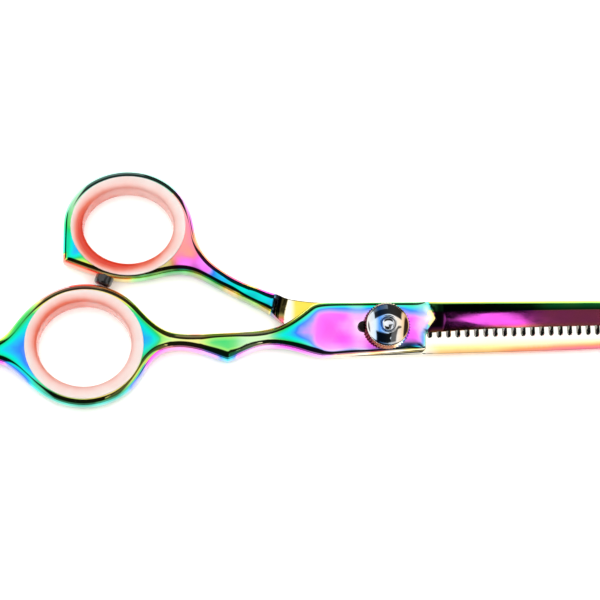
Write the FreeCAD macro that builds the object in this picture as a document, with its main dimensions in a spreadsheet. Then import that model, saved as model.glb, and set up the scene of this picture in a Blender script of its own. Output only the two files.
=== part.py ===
import FreeCAD, Part
import Sketcher
import math
import os

# Hairdresser's thinning shears, millimetres.
# The origin lies on the pivot axis in the plane the shears rest on.
# +X runs along the closed blades to their tips, +Z runs up the pivot to the dial.

App = FreeCAD
V = FreeCAD.Vector
doc = FreeCAD.newDocument("thinning_shears")

# ---------------------------------------------------------------- dimensions

sheet = doc.addObject("Spreadsheet::Sheet", "Dims")
DIMENSIONS = [
    # heights of the forged halves
    ("handle_floor", 0.5),
    ("handle_top", 5.8),
    ("mating_level", 3.2),
    ("half_gap", 0.05),
    ("edge_round", 1.3),
    ("back_round", 1.3),
    # scooped step where each shank drops to its flat plate
    ("step_foot", 21.0),
    ("step_rim", 24.0),
    # blades
    ("tooth_pitch", 1.989),
    ("slot_width", 0.86),
    ("first_slot", 9.4),
    ("slot_count", 31),
    # rings
    ("finger_x", -62.0),
    ("finger_y", -3.5),
    ("finger_major", 10.9),
    ("finger_minor", 10.1),
    ("thumb_x", -53.2),
    ("thumb_y", 21.3),
    ("thumb_major", 10.7),
    ("thumb_minor", 9.4),
    # silicone inserts
    ("insert_gap", 0.05),
    ("insert_wall", 1.35),
    ("lip_reach", 1.2),
    ("insert_top", 6.3),
    # pivot stack
    ("head_radius", 4.0),
    ("head_top", 1.3),
    ("neck_radius", 2.2),
    ("neck_flats", 3.6),
    ("recess_radius", 4.55),
    ("recess_floor", 2.9),
    ("shoulder_radius", 2.0),
    ("shoulder_top", 6.04),
    ("key_radius", 1.85),
    ("key_flats", 3.0),
    ("key_top", 6.8),
    ("thread_radius", 1.5),
    ("stud_top", 9.2),
    ("bush_radius", 2.95),
    ("shim_radius", 4.2),
    ("shim_floor", 5.82),
    ("shim_top", 6.02),
    ("plate_radius", 4.4),
    ("plate_floor", 6.05),
    ("plate_top", 6.35),
    ("tab_reach", 6.0),
    ("spring_floor", 6.38),
    ("spring_rise", 0.24),
    ("spring_stock", 0.25),
    ("spring_radius", 3.6),
    ("presser_floor", 6.89),
    ("presser_top", 7.1),
    ("presser_radius", 3.7),
    ("dial_radius", 4.9),
    ("dial_cavity", 3.95),
    ("dial_floor", 6.42),
    ("dial_ceiling", 7.12),
    ("dial_top", 9.0),
    ("knurl_count", 48),
    # stopper
    ("bumper_radius", 1.85),
    ("bumper_length", 2.5),
    ("bumper_sink", 0.9),
    ("stem_radius", 0.9),
    ("stem_depth", 1.0),
    ("stem_socket", 1.3),
]
for row, (alias, value) in enumerate(DIMENSIONS, start=1):
    sheet.set("A%d" % row, alias)
    sheet.set("B%d" % row, str(value))
    sheet.setAlias("B%d" % row, alias)
doc.recompute()


def dim(alias):
    return float(sheet.get(alias))


# ---------------------------------------------------------------- helpers

def new_body(name):
    body = doc.addObject("PartDesign::Body", name)
    body.Label = name
    return body


def origin_item(body, role):
    for item in body.Origin.OriginFeatures:
        if item.Role == role:
            return item
    raise ValueError(role)


def new_sketch(body, name, role="XY_Plane", shift=0.0, shift_rule=None):
    sketch = body.newObject("Sketcher::SketchObject", name)
    sketch.AttachmentSupport = [(origin_item(body, role), "")]
    sketch.MapMode = "FlatFace"
    sketch.AttachmentOffset = App.Placement(V(0, 0, shift), App.Rotation())
    if shift_rule:
        sketch.setExpression("AttachmentOffset.Base.z", shift_rule)
    return sketch


def join_ends(sketch, count, first=0):
    """Join each side of a closed outline to the next at the ends that meet.

    Returns, for each side, which of its two ends is its beginning on the way round.
    """
    begins = []
    for i in range(count):
        here = first + i
        there = first + (i + 1) % count
        pairs = [((sketch.getPoint(here, p) - sketch.getPoint(there, q)).Length, p, q)
                 for p in (1, 2) for q in (1, 2)]
        _, end, begin = min(pairs)
        sketch.addConstraint(Sketcher.Constraint("Coincident", here, end, there, begin))
        begins.append(3 - end)
    return begins


def ruled_profile(sketch, corners, arcs=None):
    """Closed outline whose corners are rules on the dimension sheet.

    arcs gives, for the side that starts at a corner, a point that side bulges through.
    """
    values = [V(sheet_value(x), sheet_value(y), 0) for x, y in corners]
    count = len(values)
    for i in range(count):
        a = values[i]
        b = values[(i + 1) % count]
        if arcs and i in arcs:
            side = Part.Arc(a, V(arcs[i][0], arcs[i][1], 0), b)
        else:
            side = Part.LineSegment(a, b)
        sketch.addGeometry(side, False)
    begins = join_ends(sketch, count)
    for i, (rule_x, rule_y) in enumerate(corners):
        for kind, rule, value in (("DistanceX", rule_x, values[i].x),
                                  ("DistanceY", rule_y, values[i].y)):
            index = sketch.addConstraint(Sketcher.Constraint(kind, -1, 1, i, begins[i], value))
            sketch.setExpression("Constraints[%d]" % index, linked(rule))


def linked(rule):
    """Spell a rule for the expression engine: every word is a cell of the sheet."""
    out = []
    for word in rule.replace("+", " + ").replace("-", " - ").replace("*", " * ").split():
        out.append("Dims." + word if word[0].isalpha() else word)
    return " ".join(out)


def sheet_value(rule):
    """Number that a rule of plain sums and products gives."""
    total = 0.0
    sign = 1.0
    for word in rule.replace("+", " + ").replace("-", " - ").split():
        if word == "+":
            sign = 1.0
        elif word == "-":
            sign = -1.0
        else:
            product = 1.0
            for factor in word.split("*"):
                product *= dim(factor) if factor[0].isalpha() else float(factor)
            total += sign * product
            sign = 1.0
    return total


def bound_circle(sketch, rule):
    """Circle about the sketch's origin with its radius on the sheet."""
    radius = sheet_value(rule)
    item = sketch.addGeometry(Part.Circle(V(0, 0, 0), V(0, 0, 1), radius), False)
    sketch.addConstraint(Sketcher.Constraint("Coincident", item, 3, -1, 1))
    index = sketch.addConstraint(Sketcher.Constraint("Radius", item, radius))
    sketch.setExpression("Constraints[%d]" % index, linked(rule))


def pad(body, name, sketch, rule):
    feature = body.newObject("PartDesign::Pad", name)
    feature.Profile = sketch
    feature.setExpression("Length", linked(rule))
    doc.recompute()
    return feature


def cut_check(body, name, before):
    volume = body.Shape.Volume
    if not volume < before - 1e-4:
        raise RuntimeError("%s cut nothing" % name)


def pocket(body, name, sketch, reversed_cut=False, rule=None):
    before = body.Shape.Volume
    feature = body.newObject("PartDesign::Pocket", name)
    feature.Profile = sketch
    feature.Reversed = reversed_cut
    if rule:
        feature.setExpression("Length", linked(rule))
    else:
        feature.Type = 1
    doc.recompute()
    cut_check(body, name, before)
    return feature


def groove(body, name, sketch):
    before = body.Shape.Volume
    feature = body.newObject("PartDesign::Groove", name)
    feature.Profile = sketch
    feature.ReferenceAxis = (sketch, ["V_Axis"])
    feature.Angle = 360.0
    doc.recompute()
    cut_check(body, name, before)
    return feature


def revolve(body, name, sketch):
    feature = body.newObject("PartDesign::Revolution", name)
    feature.Profile = sketch
    feature.ReferenceAxis = (sketch, ["V_Axis"])
    feature.Angle = 360.0
    doc.recompute()
    return feature


def spline(poles):
    curve = Part.BSplineCurve()
    curve.buildFromPoles([V(x, y, 0) for x, y in poles], False, 3)
    return curve


def segment(a, b):
    return Part.LineSegment(V(a[0], a[1], 0), V(b[0], b[1], 0))


def arc_poles(centre, major, minor, start, end, steps):
    """Control points of an evenly spaced cubic spline that follows an ellipse."""
    turn = math.radians((end - start) / steps)
    swell = 3.0 / (2.0 + math.cos(turn))
    poles = []
    for i in range(steps + 1):
        angle = math.radians(start) + i * turn
        poles.append((centre[0] + major * swell * math.cos(angle),
                      centre[1] + minor * swell * math.sin(angle)))
    return poles


# ---------------------------------------------------------------- outlines

FINGER = (dim("finger_x"), dim("finger_y"))
THUMB = (dim("thumb_x"), dim("thumb_y"))
FINGER_RING = (13.6, 12.7)
THUMB_RING = (13.2, 11.8)

# plain half: the pivot plate ends at PLATE_END, where the blade begins
PLATE_END = 8.1
BUMP = (-32.8, -6.9)
TANG_IN = (-92.4, -20.2)
TANG_OUT = (-96.4, -20.2)
TANG_END = (-94.4, -22.2)
PLAIN_LOWER_BACK = [TANG_IN, (-92.2, -16.6), (-90.2, -11.8), (-86.6, -8.4), (-82.2, -6.7),
                    (-78.4, -6.9), (-75.4, -9.1)]
PLAIN_LOWER_BACK += arc_poles(FINGER, FINGER_RING[0], FINGER_RING[1], 222, 318, 4)
PLAIN_LOWER_BACK += [(-48.9, -7.1), (-46.4, -4.7), (-42.6, -4.1), (-38.2, -4.9), (-34.8, -6.2), BUMP]
PLAIN_LOWER_FRONT = [BUMP, (-30.8, -6.2), (-27.4, -4.3), (-23.2, -3.7), (-18.4, -4.7),
                     (-15.4, -5.8), (-13.4, -6.2)]
PLAIN_UPPER = [(-9.5, 5.2), (-11.8, 5.2), (-14.6, 5.4), (-16.2, 4.1), (-19.0, 1.9), (-22.6, -0.1),
               (-27.4, -0.75), (-33.0, -1.1), (-38.6, -1.25), (-44.2, -1.2), (-47.4, 0.5), (-50.2, 3.2)]
PLAIN_UPPER += arc_poles(FINGER, FINGER_RING[0], FINGER_RING[1], 48, 140, 4)
PLAIN_UPPER += [(-75.4, 1.9), (-78.0, -2.0), (-81.6, -3.5), (-86.6, -4.9), (-91.2, -8.0),
                (-94.6, -13.0), (-96.4, -17.6), TANG_OUT]
PLATE_CHOIL = (PLATE_END, -4.6)
PLATE_SPINE = (PLATE_END, 5.34)
CHOIL_TOP = (PLATE_END + 0.05, -2.2)
EDGE_START = (9.7, -0.75)
PLAIN_TIP = (76.5, 1.3)
PLAIN_EDGE = [EDGE_START, (20.0, 0.0), (33.0, 0.42), (45.0, 0.66), (60.0, 0.9), PLAIN_TIP]
PLAIN_SPINE = [PLAIN_TIP, (76.4, 1.9), (74.4, 2.9), (69.0, 4.0), (58.0, 5.4), (45.0, 5.75),
               (25.0, 5.5), PLATE_SPINE]

# toothed half
COMB_HEEL = (-66.5, 13.9)
COMB_UPPER = [(-8.0, 5.35), (-10.5, 5.4), (-13.0, 5.6), (-15.4, 5.7), (-18.6, 6.1), (-20.5, 6.5),
              (-24.0, 7.5), (-28.0, 8.9), (-32.0, 10.8), (-35.6, 13.2), (-38.4, 16.4), (-39.6, 20.0)]
COMB_UPPER += arc_poles((-53.3, 21.6), THUMB_RING[0], THUMB_RING[1], 10, 165, 7)
COMB_UPPER += [(-66.5, 20.6), (-66.5, 17.6), COMB_HEEL]
COMB_LOWER = [COMB_HEEL, (-61.5, 12.1), (-57.2, 10.45), (-53.0, 9.95), (-48.5, 10.6), (-43.5, 12.0),
              (-39.2, 11.6), (-34.8, 8.9), (-29.6, 6.3), (-24.9, 4.0), (-21.8, 1.8), (-18.4, -1.4),
              (-15.4, -4.0), (-12.9, -5.9), (-10.0, -5.85)]
COMB_SPINE_START = (PLATE_END, -5.36)
COMB_CHOIL = (PLATE_END, 2.3)
COMB_TIP = (76.0, 0.85)
COMB_SPINE = [COMB_SPINE_START, (20.0, -5.05), (33.0, -4.75), (46.0, -4.3), (57.0, -3.6),
              (67.0, -2.4), (73.5, -0.9), (76.2, 0.2), COMB_TIP]
COMB_TEETH = [COMB_TIP, (75.0, 1.9), (72.6, 2.6), (66.0, 2.95), (45.0, 2.95), (25.0, 2.5), COMB_CHOIL]


def plain_blank():
    return [
        spline(PLAIN_LOWER_BACK),
        spline(PLAIN_LOWER_FRONT),
        segment(PLAIN_LOWER_FRONT[-1], PLATE_CHOIL),
        segment(PLATE_CHOIL, PLATE_SPINE),
        segment(PLATE_SPINE, PLAIN_UPPER[0]),
        spline(PLAIN_UPPER),
        Part.Arc(V(*TANG_OUT, 0), V(*TANG_END, 0), V(*TANG_IN, 0)),
    ]


def plain_blade():
    return [
        segment(PLATE_CHOIL, CHOIL_TOP),
        spline([CHOIL_TOP, (PLATE_END + 0.1, -1.3), (8.8, -0.85), EDGE_START]),
        spline(PLAIN_EDGE),
        spline(PLAIN_SPINE),
        segment(PLATE_SPINE, PLATE_CHOIL),
    ]


def comb_blank():
    return [
        spline(COMB_UPPER),
        spline(COMB_LOWER),
        segment(COMB_LOWER[-1], COMB_SPINE_START),
        segment(COMB_SPINE_START, COMB_CHOIL),
        spline([COMB_CHOIL, (PLATE_END, 4.0), (5.4, 5.3), (1.5, 5.35)]),
        segment((1.5, 5.35), COMB_UPPER[0]),
    ]


def comb_blade():
    return [
        spline(COMB_SPINE),
        spline(COMB_TEETH),
        segment(COMB_CHOIL, COMB_SPINE_START),
    ]


def outline_sketch(body, name, curves, rule):
    sketch = new_sketch(body, name, "XY_Plane", sheet_value(rule), linked(rule))
    for curve in curves:
        sketch.addGeometry(curve, False)
    join_ends(sketch, len(curves))
    return sketch


def level_edges(shape, level):
    """Names of the flat rim edges at one height, leaving out the end where the blade starts."""
    names = []
    for i, edge in enumerate(shape.Edges, start=1):
        box = edge.BoundBox
        flat = abs(box.ZMin - level) < 1e-3 and abs(box.ZMax - level) < 1e-3
        if flat and box.XMin < PLATE_END - 0.2:
            names.append("Edge%d" % i)
    return names


def round_edges(body, name, base, level, rule):
    feature = body.newObject("PartDesign::Fillet", name)
    feature.Base = (base, level_edges(base.Shape, level))
    feature.setExpression("Radius", linked(rule))
    doc.recompute()
    if feature.Shape.isNull() or not feature.Shape.isValid():
        raise RuntimeError(name)
    return feature


def ring_bore(body, name, centre, major, minor):
    """Elliptical bore through a ring."""
    sketch = new_sketch(body, name + "_outline", "XY_Plane")
    ellipse = Part.Ellipse(V(centre[0], centre[1], 0), dim(major), dim(minor))
    sketch.addGeometry(ellipse, False)
    return pocket(body, name, sketch, reversed_cut=True)


def step_sketch(body, name, inner, outer):
    """Half profile of the turned step: a cove from the plate up to the shank's face."""
    sketch = new_sketch(body, name, "XZ_Plane")
    foot = dim("step_foot")
    rim = dim("step_rim")
    bend = V(foot + 0.72 * (rim - foot), inner + 0.34 * (outer - inner), 0)
    beyond = outer + 0.5 * (outer - inner)
    sketch.addGeometry(segment((0.0, inner), (foot, inner)), False)
    sketch.addGeometry(Part.Arc(V(foot, inner, 0), bend, V(rim, outer, 0)), False)
    sketch.addGeometry(segment((rim, outer), (rim, beyond)), False)
    sketch.addGeometry(segment((rim, beyond), (0.0, beyond)), False)
    sketch.addGeometry(segment((0.0, beyond), (0.0, inner)), False)
    begins = join_ends(sketch, 5)
    for side, alias in ((1, "step_foot"), (2, "step_rim")):
        index = sketch.addConstraint(Sketcher.Constraint("DistanceX", -1, 1, side, begins[side], dim(alias)))
        sketch.setExpression("Constraints[%d]" % index, "Dims." + alias)
    return sketch


def section_sketch(body, name, station, corners):
    """Closed polygon in the plane across the blade at one X."""
    sketch = new_sketch(body, name, "YZ_Plane", station)
    count = len(corners)
    for i in range(count):
        sketch.addGeometry(segment(corners[i], corners[(i + 1) % count]), False)
    join_ends(sketch, count)
    return sketch


def shave(body, name, sections):
    """Cut away everything that the sections sweep through, with straight rulings."""
    before = body.Shape.Volume
    sketches = [section_sketch(body, "%s_at_%d" % (name, i), x, pts)
                for i, (x, pts) in enumerate(sections)]
    feature = body.newObject("PartDesign::SubtractiveLoft", name)
    feature.Profile = sketches[0]
    feature.Sections = sketches[1:]
    feature.Ruled = True
    doc.recompute()
    cut_check(body, name, before)
    return feature


# ---------------------------------------------------------------- plain half

plain = new_body("blade_half")
blank = pad(plain, "plain_blank", outline_sketch(plain, "plain_outline", plain_blank(), "handle_floor"),
            "handle_top-handle_floor")
blank = round_edges(plain, "plain_top_round", blank, dim("handle_top"), "edge_round")
blank = round_edges(plain, "plain_back_round", blank, dim("handle_floor"), "back_round")
underside = dim("mating_level") + dim("half_gap")
groove(plain, "plain_step", step_sketch(plain, "plain_step_profile", underside, dim("handle_floor") - 0.1))
pad(plain, "plain_blade", outline_sketch(plain, "plain_blade_outline", plain_blade(), "mating_level+half_gap"),
    "handle_top-mating_level-half_gap")


def plain_section(spine, ridge, edge, spine_z, ridge_z, edge_z, corner):
    """Space above the blade: bevelled spine, upper facet, ridge, lower facet, edge."""
    return [(-8.0, 7.0), (-8.0, edge_z), (edge, edge_z), (ridge, ridge_z), (spine - corner, spine_z),
            (spine + 1.2, spine_z - corner - 1.2), (10.0, spine_z - corner - 1.2), (10.0, 7.0)]


shave(plain, "plain_facets", [
    (PLATE_END + 0.4, plain_section(5.34, -3.4, -4.6, 5.8, 5.8, 5.8, 0.7)),
    (11.8, plain_section(5.42, 2.6, -0.5, 5.25, 5.0, 3.45, 0.55)),
    (45.0, plain_section(5.65, 2.9, 0.66, 5.0, 4.75, 3.45, 0.55)),
    (66.0, plain_section(4.3, 2.6, 1.0, 4.7, 4.5, 3.45, 0.5)),
    (77.0, plain_section(2.2, 1.8, 1.3, 4.3, 4.2, 3.45, 0.4)),
])
ring_bore(plain, "finger_bore", FINGER, "finger_major", "finger_minor")
hub = new_sketch(plain, "bush_seat_outline")
bound_circle(hub, "bush_radius+0.02")
pocket(plain, "bush_seat", hub, reversed_cut=True)

# ---------------------------------------------------------------- toothed half

comb = new_body("comb_half")
blank = pad(comb, "comb_blank", outline_sketch(comb, "comb_outline", comb_blank(), "handle_floor"),
            "handle_top-handle_floor")
blank = round_edges(comb, "comb_top_round", blank, dim("handle_top"), "edge_round")
blank = round_edges(comb, "comb_back_round", blank, dim("handle_floor"), "back_round")
groove(comb, "comb_step", step_sketch(comb, "comb_step_profile", dim("mating_level"), dim("handle_top") + 0.1))
pad(comb, "comb_blade", outline_sketch(comb, "comb_blade_outline", comb_blade(), "handle_floor"),
    "mating_level-handle_floor")


def comb_section(spine, ridge, tips, spine_z, flat_z, tip_z, corner):
    """Space below the toothed blade: bevelled spine, flat, long bevel to the tooth tips."""
    return [(-9.0, -1.0), (-9.0, spine_z + corner + 1.2), (spine - 1.2, spine_z + corner + 1.2),
            (spine + corner, spine_z), (ridge, flat_z), (tips, tip_z), (8.0, tip_z + 0.1), (8.0, -1.0)]


shave(comb, "comb_bevel", [
    (PLATE_END + 0.4, comb_section(-5.36, -1.9, 2.3, 0.45, 0.45, 0.45, 0.7)),
    (12.0, comb_section(-5.28, -1.9, 2.4, 0.75, 0.85, 1.9, 0.6)),
    (45.0, comb_section(-4.35, -1.5, 2.9, 1.0, 1.1, 2.05, 0.5)),
    (66.0, comb_section(-2.6, -0.9, 2.9, 1.3, 1.35, 2.2, 0.4)),
    (77.0, comb_section(-0.4, 0.3, 1.2, 1.7, 1.75, 2.2, 0.3)),
])

# the slots are evenly spaced along a line that leans a little towards the tips
slot = new_sketch(comb, "slot_outline", "XY_Plane", dim("mating_level"))
slot.AttachmentOffset = App.Placement(V(0, 0, dim("mating_level")), App.Rotation(V(0, 0, 1), 0.95))
slot.setExpression("AttachmentOffset.Base.z", "Dims.mating_level")
centre = dim("first_slot")
half = dim("slot_width") / 2
slot.addGeometry(segment((centre - half, 4.2), (centre - half, -1.6)), False)
slot.addGeometry(Part.Arc(V(centre - half, -1.6, 0), V(centre, -1.6 - half, 0),
                          V(centre + half, -1.6, 0)), False)
slot.addGeometry(segment((centre + half, -1.6), (centre + half, 4.2)), False)
slot.addGeometry(segment((centre + half, 4.2), (centre - half, 4.2)), False)
join_ends(slot, 4)
one_slot = pocket(comb, "tooth_slot", slot)
rack = comb.newObject("PartDesign::LinearPattern", "tooth_slots")
rack.Originals = [one_slot]
rack.Direction = (slot, ["H_Axis"])
rack.setExpression("Length", "Dims.tooth_pitch * (Dims.slot_count - 1)")
rack.setExpression("Occurrences", "Dims.slot_count")
before = comb.Shape.Volume
comb.Tip = rack
doc.recompute()
cut_check(comb, "tooth_slots", before)

ring_bore(comb, "thumb_bore", THUMB, "thumb_major", "thumb_minor")

# seats for the stud: recessed head, flats for its neck, running washer's recess
seat = new_sketch(comb, "head_seat_outline", "XY_Plane", dim("head_top"), "Dims.head_top")
bound_circle(seat, "head_radius+0.05")
pocket(comb, "head_seat", seat)
neck = new_sketch(comb, "neck_seat_outline", "XY_Plane", dim("recess_floor"), "Dims.recess_floor")
reach = dim("neck_radius") + 0.03
flat = dim("neck_flats") / 2 + 0.03
side = math.sqrt(reach * reach - flat * flat)
neck.addGeometry(segment((-side, -flat), (side, -flat)), False)
neck.addGeometry(Part.Arc(V(side, -flat, 0), V(reach, 0, 0), V(side, flat, 0)), False)
neck.addGeometry(segment((side, flat), (-side, flat)), False)
neck.addGeometry(Part.Arc(V(-side, flat, 0), V(-reach, 0, 0), V(-side, -flat, 0)), False)
join_ends(neck, 4)
pocket(comb, "neck_seat", neck)
well = new_sketch(comb, "washer_recess_outline", "XY_Plane", dim("recess_floor"), "Dims.recess_floor")
bound_circle(well, "recess_radius")
pocket(comb, "washer_recess", well, reversed_cut=True)

# ---------------------------------------------------------------- silicone ring inserts

def ring_insert(name, centre, major, minor):
    """Grommet for one ring: a band through the bore with a rolled lip on each face."""
    body = new_body(name)
    wall = dim("insert_wall")
    lip = dim("lip_reach")
    top = dim("insert_top")
    gap = dim("insert_gap")
    low_face = dim("handle_floor") - gap
    high_face = dim("handle_top") + gap
    path = new_sketch(body, name + "_path")
    path.addGeometry(Part.Ellipse(V(0, 0, 0), dim(major) - gap, dim(minor) - gap), False)
    profile = new_sketch(body, name + "_section", "XZ_Plane")
    start = dim(major) - gap
    corners = [(0.0, low_face), (lip, low_face), (lip, 0.2), (lip - 0.35, 0.0), (-wall + 0.6, 0.0),
               (-wall, 1.1), (-wall, top - 1.1), (-wall + 0.6, top), (lip - 0.35, top),
               (lip, top - 0.2), (lip, high_face), (0.0, high_face)]
    for i in range(len(corners)):
        a = corners[i]
        b = corners[(i + 1) % len(corners)]
        profile.addGeometry(segment((start + a[0], a[1]), (start + b[0], b[1])), False)
    join_ends(profile, len(corners))
    sweep = body.newObject("PartDesign::AdditivePipe", name + "_sweep")
    sweep.Profile = profile
    sweep.Spine = (path, [])
    doc.recompute()
    body.Placement = App.Placement(V(centre[0], centre[1], 0), App.Rotation())
    return body


ring_insert("finger_ring_insert", FINGER, "finger_major", "finger_minor")
ring_insert("thumb_ring_insert", THUMB, "thumb_major", "thumb_minor")

# ---------------------------------------------------------------- stopper

# the stopper stands in a spot-faced seat in the heel's lower facet
FACET_TURN = math.degrees(math.atan2(10.45 - 12.1, -57.2 + 61.5))
FACET_POINT = (-58.1, 10.62)
STOPPER_LEVEL = 3.3
OUTWARD = App.Rotation(V(0, 0, 1), FACET_TURN).multiply(App.Rotation(V(1, 0, 0), 90.0))


def stopper_place(depth):
    """Frame on the stopper's axis, its own Z pointing out of the heel, sunk by a depth."""
    out = OUTWARD.multVec(V(0, 0, 1))
    return App.Placement(V(FACET_POINT[0], FACET_POINT[1], STOPPER_LEVEL) - out * depth, OUTWARD)


def heel_bore(name, radius_rule, height_rule, depth):
    before = comb.Shape.Volume
    bore = comb.newObject("PartDesign::SubtractiveCylinder", name)
    bore.Placement = stopper_place(depth)
    bore.setExpression("Radius", linked(radius_rule))
    bore.setExpression("Height", linked(height_rule))
    doc.recompute()
    cut_check(comb, name, before)


heel_bore("stopper_seat", "bumper_radius+0.05", "bumper_sink+2.0", dim("bumper_sink"))
heel_bore("stem_bore", "stem_radius+0.02", "stem_depth+0.1", dim("bumper_sink") + dim("stem_depth"))

bumper = new_body("bumper")
profile = new_sketch(bumper, "bumper_profile", "XZ_Plane")
ruled_profile(profile, [
    ("stem_radius+0.02", "0.0"),
    ("bumper_radius-0.2", "0.0"),
    ("bumper_radius", "0.2"),
    ("bumper_radius", "bumper_length-0.8"),
    ("bumper_radius-0.8", "bumper_length"),
    ("0.0", "bumper_length"),
    ("0.0", "stem_socket"),
    ("stem_radius+0.02", "stem_socket"),
], {3: (dim("bumper_radius") - 0.25, dim("bumper_length") - 0.25)})
revolve(bumper, "bumper_turn", profile)
bumper.Placement = stopper_place(dim("bumper_sink"))

stem = doc.addObject("Part::Cylinder", "bumper_stem")
stem.Label = "bumper_stem"
stem.setExpression("Radius", linked("stem_radius"))
stem.setExpression("Height", linked("stem_depth+stem_socket-0.05"))
stem.Placement = stopper_place(dim("bumper_sink") + dim("stem_depth"))

# ---------------------------------------------------------------- pivot stack

stud = new_body("pivot_stud")
profile = new_sketch(stud, "stud_profile", "XZ_Plane")
ruled_profile(profile, [
    ("0.0", "0.0"),
    ("head_radius-0.25", "0.0"),
    ("head_radius", "0.25"),
    ("head_radius", "head_top"),
    ("neck_radius", "head_top"),
    ("neck_radius", "recess_floor"),
    ("shoulder_radius", "recess_floor"),
    ("shoulder_radius", "shoulder_top"),
    ("key_radius", "shoulder_top"),
    ("key_radius", "key_top"),
    ("thread_radius", "key_top"),
    ("thread_radius", "stud_top-0.35"),
    ("thread_radius-0.2", "stud_top-0.15"),
    ("thread_radius-0.7", "stud_top"),
    ("0.0", "stud_top"),
])
revolve(stud, "stud_turn", profile)


def flats(name, floor, height_rule, flat_rule):
    """Mill two opposite flats on the stud, above and below its axis in Y."""
    sketch = new_sketch(stud, name + "_outline", "XY_Plane", dim(floor), "Dims." + floor)
    near = dim(flat_rule) / 2
    far = 3.0
    for side in (1, -1):
        corners = [(-far, side * near), (far, side * near), (far, side * far), (-far, side * far)]
        start = len(sketch.Geometry)
        for i in range(4):
            sketch.addGeometry(segment(corners[i], corners[(i + 1) % 4]), False)
        join_ends(sketch, 4, start)
    pocket(stud, name, sketch, reversed_cut=True, rule=height_rule)


flats("neck_flats_cut", "head_top", "recess_floor-head_top", "neck_flats")
flats("key_flats_cut", "shoulder_top", "key_top-shoulder_top", "key_flats")


def tube(name, outer_rule, inner_rule, low_rule, height_rule):
    """Plain washer or bush about the pivot axis."""
    wall = doc.addObject("Part::Cylinder", name + "_outside")
    wall.setExpression("Radius", linked(outer_rule))
    wall.setExpression("Height", linked(height_rule))
    wall.setExpression("Placement.Base.z", linked(low_rule))
    core = doc.addObject("Part::Cylinder", name + "_hole")
    core.setExpression("Radius", linked(inner_rule))
    core.setExpression("Height", linked(height_rule + "+0.2"))
    core.setExpression("Placement.Base.z", linked(low_rule + "-0.1"))
    piece = doc.addObject("Part::Cut", name)
    piece.Label = name
    piece.Base = wall
    piece.Tool = core
    return piece


tube("glide_washer", "recess_radius-0.05", "shoulder_radius+0.05", "recess_floor+0.01",
     "mating_level+half_gap-recess_floor-0.02")
tube("pivot_bush", "bush_radius", "shoulder_radius+0.04", "mating_level+half_gap",
     "handle_top-mating_level-half_gap")
tube("dial_shim", "shim_radius", "shoulder_radius+0.05", "shim_floor", "shim_top-shim_floor")
tube("pressure_washer", "presser_radius", "key_radius+0.05", "presser_floor", "presser_top-presser_floor")

# click plate: keyed to the stud by two flats, with a tab that shows beside the dial
click = new_body("click_plate")
outline = new_sketch(click, "click_outline", "XY_Plane", dim("plate_floor"), "Dims.plate_floor")
disc = dim("plate_radius")
root_angle = math.radians(17.0)
root = (-disc * math.cos(root_angle), disc * math.sin(root_angle))
tab = dim("tab_reach")
outline.addGeometry(segment(root, (-tab + 0.55, 0.95)), False)
outline.addGeometry(Part.Arc(V(-tab + 0.55, 0.95, 0), V(-tab, 0, 0), V(-tab + 0.55, -0.95, 0)), False)
outline.addGeometry(segment((-tab + 0.55, -0.95), (root[0], -root[1])), False)
outline.addGeometry(Part.Arc(V(root[0], -root[1], 0), V(disc, 0, 0), V(root[0], root[1], 0)), False)
key_reach = dim("key_radius") + 0.03
key_flat = dim("key_flats") / 2 + 0.03
key_side = math.sqrt(key_reach * key_reach - key_flat * key_flat)
outline.addGeometry(segment((-key_side, -key_flat), (key_side, -key_flat)), False)
outline.addGeometry(Part.Arc(V(key_side, -key_flat, 0), V(key_reach, 0, 0), V(key_side, key_flat, 0)), False)
outline.addGeometry(segment((key_side, key_flat), (-key_side, key_flat)), False)
outline.addGeometry(Part.Arc(V(-key_side, key_flat, 0), V(-key_reach, 0, 0), V(-key_side, -key_flat, 0)), False)
pad(click, "click_pad", outline, "plate_top-plate_floor")

# coned spring washer under the dial
spring = new_body("spring_washer")
profile = new_sketch(spring, "spring_profile", "XZ_Plane")
ruled_profile(profile, [
    ("key_radius+0.15", "spring_floor+spring_rise"),
    ("spring_radius", "spring_floor"),
    ("spring_radius", "spring_floor+spring_stock"),
    ("key_radius+0.15", "spring_floor+spring_rise+spring_stock"),
])
revolve(spring, "spring_turn", profile)

# tension dial: hollow knurled nut with a domed top
dial = new_body("tension_dial")
profile = new_sketch(dial, "dial_profile", "XZ_Plane")
ruled_profile(profile, [
    ("thread_radius+0.04", "dial_ceiling"),
    ("dial_cavity", "dial_ceiling"),
    ("dial_cavity", "dial_floor"),
    ("dial_radius-0.2", "dial_floor"),
    ("dial_radius", "dial_floor+0.2"),
    ("dial_radius", "dial_floor+1.05"),
    ("dial_radius-0.4", "dial_floor+1.4"),
    ("thread_radius+0.6", "dial_top"),
    ("thread_radius+0.04", "dial_top-0.3"),
], {6: (3.62, 8.55)})
revolve(dial, "dial_turn", profile)
notch = new_sketch(dial, "knurl_outline", "XY_Plane", dim("dial_floor"), "Dims.dial_floor")
notch.addGeometry(Part.Circle(V(dim("dial_radius") + 0.08, 0, 0), V(0, 0, 1), 0.24), False)
one_notch = pocket(dial, "knurl_notch", notch, reversed_cut=True, rule="1.15")
knurl = dial.newObject("PartDesign::PolarPattern", "knurl")
knurl.Originals = [one_notch]
knurl.Axis = (notch, ["N_Axis"])
knurl.Angle = 360.0
knurl.setExpression("Occurrences", "Dims.knurl_count")
before = dial.Shape.Volume
dial.Tip = knurl
doc.recompute()
cut_check(dial, "knurl", before)

# ---------------------------------------------------------------- check and write

doc.recompute()
for item in doc.Objects:
    if "Invalid" in item.State or "Error" in item.State:
        raise RuntimeError("%s failed: %s" % (item.Name, item.State))

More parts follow.
